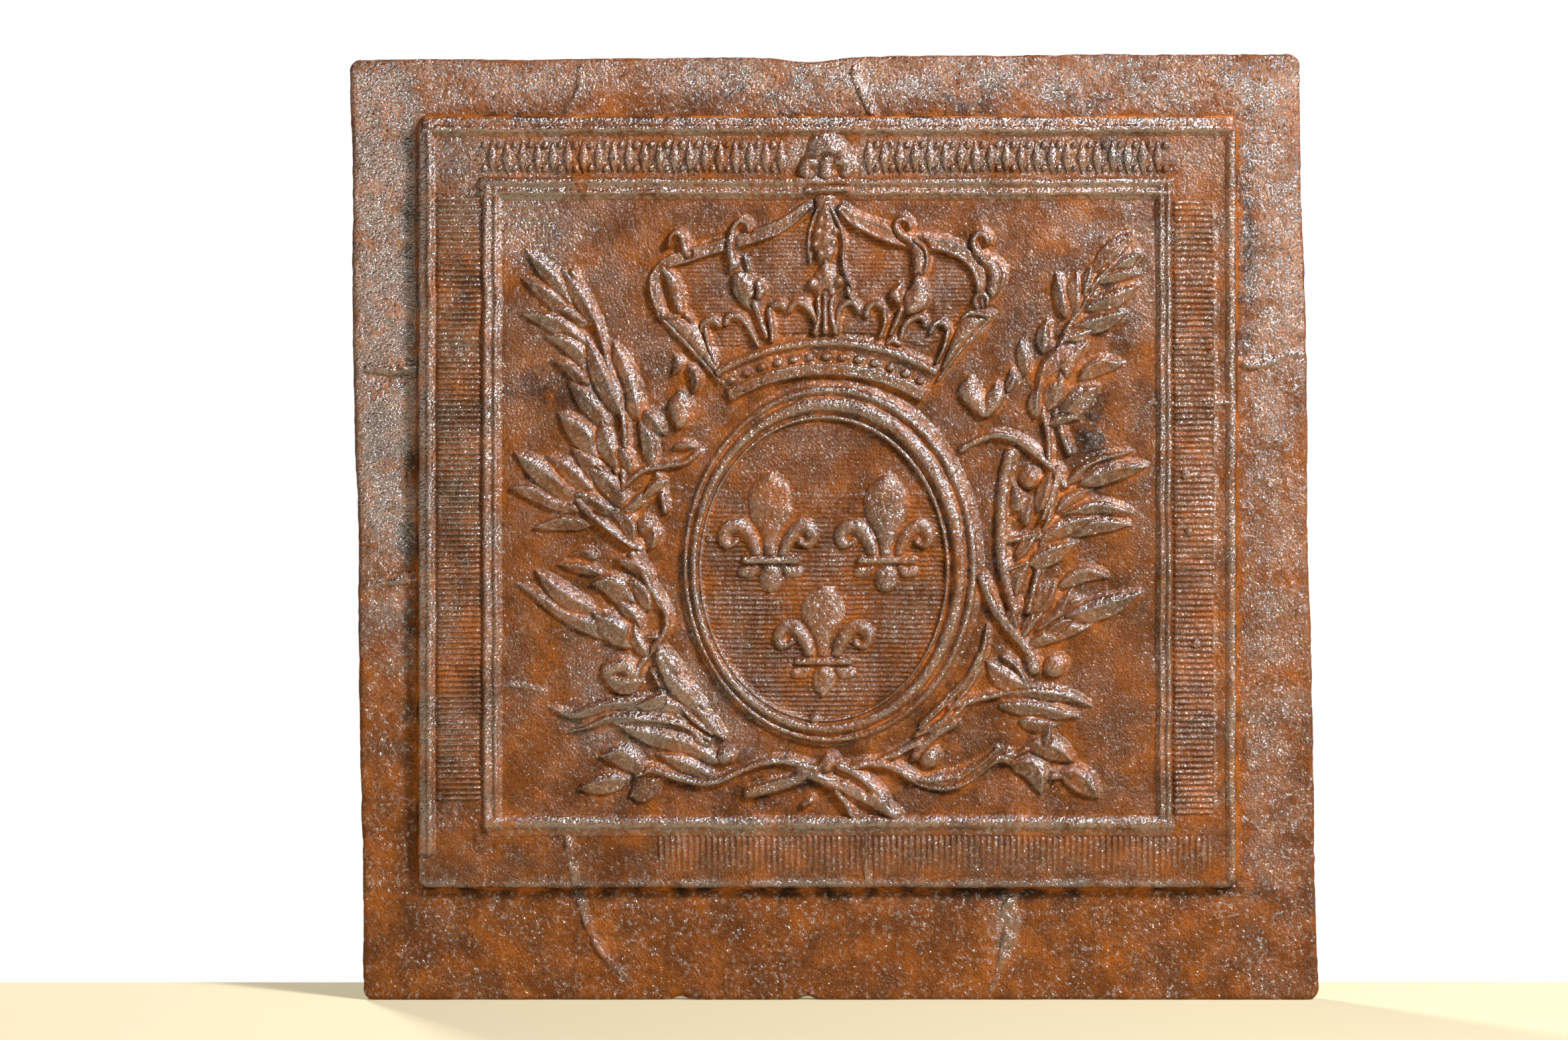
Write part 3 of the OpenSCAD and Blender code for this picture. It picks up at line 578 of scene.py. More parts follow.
def sectionTree(name, section):
    # a sheet in the relief's plane whose height repeats the section across its lines
    tree, given = newTree(name, {"Along": "Float", "Across": "Float", "Repeats": "Float",
        "Rise": "Float", "Worn": "Float", "Seed": "Float", "Turn": "Float", "Place": "Vector",
        "Outline": "Object", "Finish": "Material", "Step Along": "Float",
        "Step Across": "Float"})

    def sums(kind, a, b=0.0):
        return maths(tree, kind, a, b)

    # the grid
    grid = addNode(tree, "GeometryNodeMeshGrid", None, {"Size X": given["Along"],
        "Size Y": given["Across"],
        "Vertices X": sums("ADD", sums("DIVIDE", given["Along"], given["Step Along"]), 2),
        "Vertices Y": sums("ADD", sums("DIVIDE", given["Across"], given["Step Across"]), 2)})
    spot = addNode(tree, "GeometryNodeInputPosition").outputs[0]
    split = addNode(tree, "ShaderNodeSeparateXYZ", None, {0: spot})
    share = sums("ADD", sums("DIVIDE", split.outputs["Y"], given["Across"]), 0.5)
    share = sums("MINIMUM", sums("MAXIMUM", share, 0), 0.99999)

    # its height: the section's curve, less what is worn away
    curve = addNode(tree, "ShaderNodeFloatCurve", None,
        {"Value": sums("FRACT", sums("MULTIPLY", share, given["Repeats"]))})
    points = curve.mapping.curves[0].points
    for n, (at, height) in enumerate(section):
        if n < 2:
            points[n].location = (at, height)
        else:
            points.new(at, height)
    curve.mapping.update()
    wearPlace = addNode(tree, "ShaderNodeVectorMath", {"operation": "ADD"},
        {0: spot, 1: given["Place"]})
    wear = addNode(tree, "ShaderNodeTexNoise", {"noise_dimensions": "4D"},
        {"Vector": wearPlace.outputs[0], "W": given["Seed"], "Scale": wornAway["scale"],
        "Detail": 2})
    lost = sums("MULTIPLY", sums("SUBTRACT", wear.outputs["Fac"], wornAway["from"]),
        wornAway["strength"])
    keep = sums("SUBTRACT", 1, sums("MULTIPLY", given["Worn"], lost))
    rise = sums("MULTIPLY", sums("MULTIPLY", curve.outputs[0], given["Rise"]),
        sums("MAXIMUM", keep, wornAway["least"]))
    lift = addNode(tree, "ShaderNodeCombineXYZ", None, {"Z": rise})
    raised = addNode(tree, "GeometryNodeSetPosition", None, {"Geometry": grid.outputs["Mesh"],
        "Offset": lift.outputs[0]})

    # turned, stood up in its place, and cut to its outline
    turn = addNode(tree, "ShaderNodeCombineXYZ", None, {"Z": given["Turn"]})
    turned = addNode(tree, "GeometryNodeTransform", None, {"Geometry": raised.outputs[0],
        "Rotation": turn.outputs[0]})
    stood = addNode(tree, "GeometryNodeTransform", None, {"Geometry": turned.outputs[0],
        "Rotation": (np.pi / 2, 0, 0), "Translation": given["Place"]})
    outline = addNode(tree, "GeometryNodeObjectInfo", None, {"Object": given["Outline"]})
    before = addNode(tree, "ShaderNodeVectorMath", {"operation": "ADD"},
        {0: addNode(tree, "GeometryNodeInputPosition").outputs[0], 1: (0, -0.1, 0)})
    ray = addNode(tree, "GeometryNodeRaycast", None, {
        "Target Geometry": outline.outputs["Geometry"], "Source Position": before.outputs[0],
        "Ray Direction": (0, 1, 0), "Ray Length": 0.3})
    missed = addNode(tree, "FunctionNodeBooleanMath", {"operation": "NOT"},
        {0: ray.outputs["Is Hit"]})
    cut = addNode(tree, "GeometryNodeDeleteGeometry", {"domain": "FACE"},
        {"Geometry": stood.outputs[0], "Selection": missed.outputs[0]})
    return endTree(tree, cut.outputs[0], given["Finish"])


def runTree(tree, values):
    # the tree's result as points in mm and faces
    holder = bpy.data.objects.new("holder", bpy.data.meshes.new("holder"))
    scene.collection.objects.link(holder)
    modifier = holder.modifiers.new("nodes", "NODES")
    modifier.node_group = tree
    for item in tree.interface.items_tree:
        if item.in_out == "INPUT" and item.name in values:
            modifier[item.identifier] = values[item.name]
    scene.view_layers[0].update()
    made = bpy.data.meshes.new_from_object(holder.evaluated_get(
        bpy.context.evaluated_depsgraph_get()))
    holder.modifiers.clear()
    bpy.data.objects.remove(holder)
    points = np.zeros(len(made.vertices) * 3)
    made.vertices.foreach_get("co", points)
    faces = [list(face.vertices) for face in made.polygons]
    bpy.data.meshes.remove(made)
    return points.reshape(-1, 3) / mm, faces


def runSection(section, size, at, corners, mesh, values):
    # a sheet of the section's lines, size along and across them, cut to its corners, mm
    outline = bpy.data.meshes.new("outline")
    outline.from_pydata([(x * mm, panelY * mm, z * mm) for x, z in corners], [],
        [list(range(len(corners)))])
    shape = bpy.data.objects.new("outline", outline)
    scene.collection.objects.link(shape)
    points, faces = runTree(trees[section], {"Along": size[0] * mm, "Across": size[1] * mm,
        "Place": (at[0] * mm, panelY * mm, at[1] * mm), "Outline": shape,
        "Step Along": mesh[0] * mm, "Step Across": mesh[1] * mm, **values})
    bpy.data.objects.remove(shape)
    return points, faces


sections = {
    # height over a strip's width, from its first edge to its second
    "doubleBead": [(0, 0), (1, 0), (0.1, 0.5), (0.26, 0.98), (0.4, 0.62), (0.5, 0.5),
        (0.64, 0.9), (0.8, 0.42), (0.92, 0.15)],
    "outerBead": [(0, 0.1), (1, 0), (0.2, 0.35), (0.38, 0.45), (0.6, 1), (0.78, 0.55),
        (0.9, 0.12)],
    "thinBead": [(0, 0.1), (1, 0), (0.14, 0.6), (0.34, 0.95), (0.52, 1), (0.74, 0.5)],
    "softRidge": [(0, 0), (1, 0), (0.12, 0.25), (0.26, 0.32), (0.36, 0.5), (0.52, 0.95),
        (0.66, 1), (0.8, 0.75), (0.92, 0.25)],
    "reed": [(0, 0.08), (1, 0.08), (0.18, 0.5), (0.4, 1), (0.6, 0.85), (0.82, 0.12)],
}
trees = {name: sectionTree(name, section) for name, section in sections.items()}

# a moulding's own line repeats once; mesh is the pitch along and across, mm
moulding = {"repeats": 1, "worn": 0.5, "mesh": (4, 1.1)}
strips = {
    # each strip's box runs from the section's first edge to its last: x0, x1, z0, z1, and it
    # is upright where its lines stand, mm
    "mouldingLeft": {**moulding, "node": "inner_moulding_left", "section": "doubleBead",
        "box": (-360, -337, 176, 836), "rise": 7.2, "upright": True},
    "mouldingRight": {**moulding, "node": "inner_moulding_right", "section": "doubleBead",
        "box": (346, 327, 176, 838), "rise": 7, "upright": True},
    "mouldingTop": {**moulding, "node": "inner_moulding_top", "section": "doubleBead",
        "box": (-362, 346, 842, 816), "rise": 7.2, "worn": 0.4, "upright": False},
    "mouldingFoot": {**moulding, "node": "inner_moulding_foot", "section": "softRidge",
        "box": (-356, 345, 167, 191), "rise": 6.5, "upright": False},
    "outerLeft": {**moulding, "node": "outer_moulding_left", "section": "outerBead",
        "box": (-424, -405, 150, 896), "rise": 6, "upright": True},
    "outerTop": {**moulding, "node": "outer_moulding_top", "section": "outerBead",
        "box": (-420, 407, 903, 881), "rise": 6.4, "worn": 0.4, "upright": False},
    "outerRight": {**moulding, "node": "outer_moulding_right", "section": "thinBead",
        "box": (410.5, 398, 122, 892), "rise": 3.4, "upright": True, "mesh": (4, 1.0)},
    "reedsLeft": {"node": "reeded_band_left", "section": "reed", "box": (-405, -360, 205, 822),
        "repeats": 112, "rise": 3.9, "worn": 0.75, "upright": False, "mesh": (3, 0.92)},
    "reedsRight": {"node": "reeded_band_right", "section": "reed", "box": (346, 388, 190, 818),
        "repeats": 106, "rise": 3.3, "worn": 0.75, "upright": False, "mesh": (3, 0.98)},
    # its lines fade towards the foot, between two heights
    "reedsFoot": {"node": "reeded_band_foot", "section": "reed", "box": (-180, 386, 128, 169),
        "repeats": 93, "rise": 3.0, "worn": 0.8, "upright": True, "mesh": (3, 1.0),
        "faint": (126, 166)},
}
seating = {
    # room round a strip's outline; the width over which its rim sinks and how deep; and what
    # is sunk of a line that fades, mm
    "margin": 4, "rimWidth": 1.6, "rimDepth": 1.0, "faintDepth": 0.35, "fade": 0.7,
    # how far a moulding's and a reed's lines wander, and how much slower along x and z
    "drift": (0.8, 0.5), "slower": 0.2,
    # a sheet's own skin, and how far its back is sunk into the panel
    "skin": [(0.15, 3.4, 23)], "sunk": 2.5,
}


def makeStrips():
    margin = seating["margin"]
    for n, (name, strip) in enumerate(strips.items()):
        x0, x1, z0, z1 = strip["box"]
        size, turn = (abs(x1 - x0), abs(z1 - z0)), np.pi if z1 < z0 else 0
        if strip["upright"]:
            size, turn = size[::-1], np.pi / 2 if x1 < x0 else -np.pi / 2
        left, right = min(x0, x1) - margin, max(x0, x1) + margin
        foot, head = min(z0, z1) - margin, max(z0, z1) + margin
        points, faces = runSection(strip["section"], size, ((x0 + x1) / 2, (z0 + z1) / 2),
            [(left, foot), (right, foot), (right, head), (left, head)], strip["mesh"],
            {"Repeats": float(strip["repeats"]), "Rise": strip["rise"] * mm,
            "Worn": strip["worn"], "Seed": 3.0 + n, "Turn": float(turn),
            "Finish": materials["relief"]})
        endStrip(points, strip)
        addSheet(name, points, faces, [strip["node"]], "relief")


def endStrip(points, strip):
    # sinks a strip's rim under the panel's skin, and wanders its lines a little
    x0, x1, z0, z1 = strip["box"]
    toEnd = np.minimum(abs(x1 - x0) / 2 - np.abs(points[:, 0] - (x0 + x1) / 2),
        abs(z1 - z0) / 2 - np.abs(points[:, 2] - (z0 + z1) / 2))
    if "faint" in strip:
        low, high = strip["faint"]
        share = np.clip((points[:, 2] - low) / (high - low), 0, 1) ** seating["fade"]
        sunk = panelY + seating["faintDepth"]
        points[:, 1] = sunk + (points[:, 1] - sunk) * share
    points[:, 1] += np.clip(1 - toEnd / seating["rimWidth"], 0, 1) * seating["rimDepth"]
    drift = seating["drift"][0 if strip["repeats"] == 1 else 1]
    x, z = points[:, 0].copy(), points[:, 2].copy()
    points[:, 0] += drift * hills(x * seating["slower"], z, 34, 61)
    points[:, 2] += drift * hills(x, z * seating["slower"], 37, 62)


def addSheet(name, points, faces, nodes, part, plain=True):
    # an open sheet over the panel: its heights are marked in the height map, it waves with the
    # cast skin, and it is closed
    x, z = points[:, 0], points[:, 2]
    markHeights(x, z, panelY - points[:, 1])
    points[:, 1] -= castWave(x, z) + ripple(x, z, seating["skin"])
    keepPiece(name, *closeSheet(points, faces, panelY + seating["sunk"], plain), nodes, part)

# ---- Height map, in which the ornament is drawn before it becomes skins ----

sheet = {
    # the map's cells and edges, and the way between the points of a smooth line, mm
    "cell": 1.1, "left": -500, "right": 500, "low": -6, "high": 976,
    "lineStep": 3,
}
columnsX = np.arange(sheet["left"], sheet["right"], sheet["cell"])
rowsZ = np.arange(sheet["low"], sheet["high"], sheet["cell"])
mapX, mapZ = np.meshgrid(columnsX, rowsZ)
stripHeights = np.zeros_like(mapX)


def markHeights(x, z, height):
    # keeps the greatest height of a piece's points in each cell
    i = np.clip(((x - sheet["left"]) / sheet["cell"]).round().astype(int), 0, len(columnsX) - 1)
    j = np.clip(((z - sheet["low"]) / sheet["cell"]).round().astype(int), 0, len(rowsZ) - 1)
    np.maximum.at(stripHeights, (j, i), height)


def windowAt(xs, zs, reach):
    # the part of the map within reach of some places
    i0 = max(int((min(xs) - reach - sheet["left"]) / sheet["cell"]), 0)
    i1 = int((max(xs) + reach - sheet["left"]) / sheet["cell"]) + 2
    j0 = max(int((min(zs) - reach - sheet["low"]) / sheet["cell"]), 0)
    j1 = int((max(zs) + reach - sheet["low"]) / sheet["cell"]) + 2
    return slice(j0, j1), slice(i0, i1)


layers = {}


def layerOf(node):
    if node not in layers:
        layers[node] = np.zeros_like(mapX)
    return layers[node]


def smoothPath(points, widths):
    # a smooth line through the points, with the width at each of its own points
    points = [np.array(p, float) for p in points]
    ends = [2 * points[0] - points[1]] + points + [2 * points[-1] - points[-2]]
    path = []
    for n in range(1, len(ends) - 2):
        p0, p1, p2, p3 = ends[n - 1:n + 3]
        count = max(int(np.linalg.norm(p2 - p1) / sheet["lineStep"]), 1)
        for k in range(count):
            t = k / count
            spot = 0.5 * (2 * p1 + (p2 - p0) * t + (2 * p0 - 5 * p1 + 4 * p2 - p3) * t ** 2
                + (3 * p1 - p0 - 3 * p2 + p3) * t ** 3)
            path.append((spot[0], spot[1], widths[n - 1] * (1 - t) + widths[n] * t))
    path.append((*points[-1], widths[-1]))
    return path


def nearLine(path, reach):
    # for the part of the map near a line: the distance from it in half widths, which is less
    # than nothing on its left, and how far along it that is
    window = windowAt([p[0] for p in path], [p[1] for p in path], reach)
    x, z = mapX[window], mapZ[window]
    across, along = np.full(x.shape, 9.0), np.zeros(x.shape)
    for n, (a, b) in enumerate(zip(path, path[1:])):
        dx, dz = b[0] - a[0], b[1] - a[1]
        t = np.clip(((x - a[0]) * dx + (z - a[1]) * dz) / max(dx * dx + dz * dz, 1e-6), 0, 1)
        q = np.hypot(x - a[0] - t * dx, z - a[1] - t * dz) / (0.5 * (a[2] + (b[2] - a[2]) * t))
        closer = q < np.abs(across)
        right = np.sign((x - a[0]) * dz - (z - a[1]) * dx)
        across[closer] = (q * np.where(right < 0, -1, 1))[closer]
        along[closer] = ((n + t) / (len(path) - 1))[closer]
    return window, across, along


def layOn(node, window, across, height, over=0.0):
    # what lies over what was drawn before it leaves a dip along its own edge
    layer = layerOf(node)
    dip = 1 - over * np.clip((1.4 - np.abs(across)) / 0.3, 0, 1)
    layer[window] = np.maximum(layer[window] * dip, np.where(np.abs(across) < 1, height, 0))


def strokeAt(width, points):
    # a line's part of the map; width is one number or one for each point
    widths = list(width) if hasattr(width, "__len__") else [width] * len(points)
    return nearLine(smoothPath(points, widths), max(widths))


def drawStroke(node, width, points, rise, square=2.0, over=0.0):
    # a rounded rib along a line
    window, across, _ = strokeAt(width, points)
    body = np.clip(1 - np.abs(across) ** square, 0, 1) ** 0.5
    layOn(node, window, across, rise * body, over)


def drawBand(node, width, points, rise):
    # a flat strap along a line, with a thin raised edge on either side
    window, across, _ = strokeAt(width, points)
    q = np.abs(across)
    body = np.clip(1 - q ** 8, 0, 1) ** 0.5
    layOn(node, window, across, rise * body * (0.66 + 0.34 * np.exp(-((q - 0.78) / 0.13) ** 2)))


def drawLeaf(node, width, points, rise, keel=0.3):
    # a blade along a line, with a sharp keel towards its upper right edge and a thin lip;
    # it lies over what is drawn before it
    path = smoothPath(points, [width] * len(points))
    window, across, along = nearLine(path, width * 0.7)
    leanX, leanZ = path[-1][0] - path[0][0], path[-1][1] - path[0][1]
    side = 1 if leanZ > leanX else -1
    shape = (0.22 + 0.78 * np.sin(np.pi * along ** 0.8) ** 0.75) * (1 - along ** 7)
    q = side * across / np.maximum(shape, 0.8 / width)
    lit = np.clip((q - keel) / (1 - keel), 0, 1)
    dim = np.clip((keel - q) / (1 + keel), 0, 1)
    roof = 1 - 0.55 * lit ** 1.3 - 0.62 * dim ** 0.85
    roof += 0.14 * np.exp(-((dim - 0.86) / 0.1) ** 2) + 0.12 * np.exp(-((q - keel) / 0.1) ** 2)
    edge = np.clip(1 - q ** 10, 0, 1) ** 0.5
    height = rise * (0.6 + 0.4 * np.sin(np.pi * (0.12 + 0.8 * along))) * roof * edge
    layOn(node, window, np.where(np.abs(across) < 1.24, q, 9), height, 0.6)


def drawDome(node, at, radius, rise):
    layer = layerOf(node)
    window = windowAt([at[0]], [at[1]], radius + 2)
    q = np.hypot(mapX[window] - at[0], mapZ[window] - at[1]) / radius
    layer[window] = np.maximum(layer[window], rise * np.clip(1 - q ** 2, 0, 1) ** 0.6)


def soften(field, reach):
    # Gaussian blur, reach in mm
    sigma = reach / sheet["cell"]
    size = max(int(3 * sigma), 1)
    weights = np.exp(-0.5 * (np.arange(-size, size + 1) / max(sigma, 0.01)) ** 2)
    weights /= weights.sum()
    for axis in (0, 1):
        field = sum(w * np.roll(field, k, axis) for w, k in zip(weights, range(-size, size + 1)))
    return field


makeStrips()
print("mouldings and reeded bands are made")

# ---- Oval shield ----

oval = {
    "outerAt": (-2.5, 447), "outer": (155.5, 188), "innerAt": (-11, 441), "inner": (124, 152),
    # height over the frame's width, from the ground's edge outwards
    "section": [(0, 0.1), (0.04, 0.55), (0.09, 0.68), (0.14, 0.4), (0.18, 0.12), (0.23, 0.42),
        (0.31, 0.95), (0.4, 1), (0.5, 0.93), (0.58, 0.6), (0.63, 0.22), (0.68, 0.5), (0.75, 0.78),
        (0.82, 0.66), (0.88, 0.2), (1, 0)],
    "rise": 9.5, "lumps": [(-20, 288, 6, 7.5), (28, 281, 5, 7), (22, 270, 5, 8)],
    # the ground's lines, which are worn away above a height, and how far it goes under the rim
    "hatch": {"pitch": 4.9, "rise": 2.4, "worn": 0.7, "seed": 31.0, "bareAbove": 500},
    "under": 3,
}
fleurs = {
    # node: the bar's middle, the middle lobe's height, the reach to the left and right, and
    # how far the foot reaches below the bar
    "fleur_de_lis_left": {"at": (-65, 450), "lobe": 88, "reach": (50, 45), "drop": 30},
    "fleur_de_lis_right": {"at": (53, 450), "lobe": 86, "reach": (49, 46), "drop": 27},
    "fleur_de_lis_base": {"at": (-11, 347), "lobe": 76, "reach": (48, 48), "drop": 34},
}


def drawOval():
    layer = layerOf("oval_frame")
    toInner, toOuter = [np.hypot((mapX - at[0]) / half[0], (mapZ - at[1]) / half[1]) - 1
        for at, half in ((oval["innerAt"], oval["inner"]), (oval["outerAt"], oval["outer"]))]
    share = toInner / np.maximum(toInner - toOuter, 1e-6)
    at, height = zip(*oval["section"])
    inside = (toInner > 0) & (toOuter < 0)
    layer[inside] = (np.interp(share, at, height) * oval["rise"])[inside]
    for x, z, radius, rise in oval["lumps"]:
        drawDome("oval_frame", (x, z), radius, rise)


def drawFleur(node, spec):
    (cx, cz), lobe, drop = spec["at"], spec["lobe"], spec["drop"]

    def put(points):
        return [(cx + x, cz + z) for x, z in points]

    # middle lobe: a bulb with a point, on a narrow waist
    drawStroke(node, [3, 27, 47, 45, 27, 17, 15], put([(0, lobe), (0, lobe * 0.86),
        (0, lobe * 0.7), (0, lobe * 0.58), (0, lobe * 0.42), (0, lobe * 0.22), (0, 6)]), 6.2)
    # side curls, and the small lobes under the bar
    for side, reach in zip((-1, 1), spec["reach"]):
        far = reach - 50
        drawStroke(node, [11, 14, 16, 17, 16, 14, 11, 5], put([(side * 13, 4), (side * 16, 16),
            (side * 23, 28), (side * 32, 35), (side * (43 + far), 33), (side * (48 + far), 24),
            (side * (44 + far), 16), (side * (36 + far), 17)]), 6.6, square=1.6, over=0.8)
        drawDome(node, (cx + side * (35 + far), cz + 19), 4, 6.4)
        drawStroke(node, [9, 14, 12], put([(side * 14, -9), (side * 21, -12),
            (side * 28, -12)]), 5, over=0.5)
    # the foot, and the bar over all of them
    drawStroke(node, [15, 24, 23, 7], put([(0, -9), (0, -16), (0, -22), (0, -drop)]), 6,
        over=0.7)
    drawStroke(node, 8, put([(-26, 0), (27, 0)]), 7, square=5, over=0.9)


ground = {
    # pitch along a line and cells across one, the share lost where it is bare and the height
    # over which that comes about, how far it is sunk, and how far its lines wander
    "along": 3, "cellsAcross": 5, "lost": 0.85, "fade": 60, "sunk": 0.35,
    "drift": 0.6, "slower": 0.3,
}


def makeGround(name, node, corners, hatch):
    # hatched ground: level lines that fill an outline
    xs, zs = zip(*corners)
    x0, x1, z0, z1 = min(xs), max(xs), min(zs), max(zs)
    points, faces = runSection("reed", (x1 - x0, z1 - z0), ((x0 + x1) / 2, (z0 + z1) / 2),
        corners, (ground["along"], hatch["pitch"] / ground["cellsAcross"]),
        {"Repeats": float(round((z1 - z0) / hatch["pitch"])), "Rise": hatch["rise"] * mm,
        "Worn": hatch["worn"], "Seed": hatch["seed"], "Turn": 0.0,
        "Finish": materials["panel"]})
    bare = np.clip((points[:, 2] - hatch["bareAbove"]) / ground["fade"] + 0.5, 0, 1)
    points[:, 1] = panelY - ground["sunk"] - (panelY - points[:, 1]) * (1 - ground["lost"] * bare)
    points[:, 2] += ground["drift"] * hills(points[:, 0], points[:, 2] * ground["slower"], 41, 71)
    addSheet(name, points, faces, [node], "panel", plain=False)


def ellipseCorners(at, size, count=96):
    turns = np.linspace(0, 2 * np.pi, count, endpoint=False)
    return [(at[0] + size[0] * np.cos(t), at[1] + size[1] * np.sin(t)) for t in turns]


drawOval()
for fleurNode, fleurSpec in fleurs.items():
    drawFleur(fleurNode, fleurSpec)
makeGround("shieldHatching", "shield_ground", ellipseCorners(oval["innerAt"],
    [half + oval["under"] for half in oval["inner"]]), oval["hatch"])
print("oval shield is made")

# ---- Crown ----

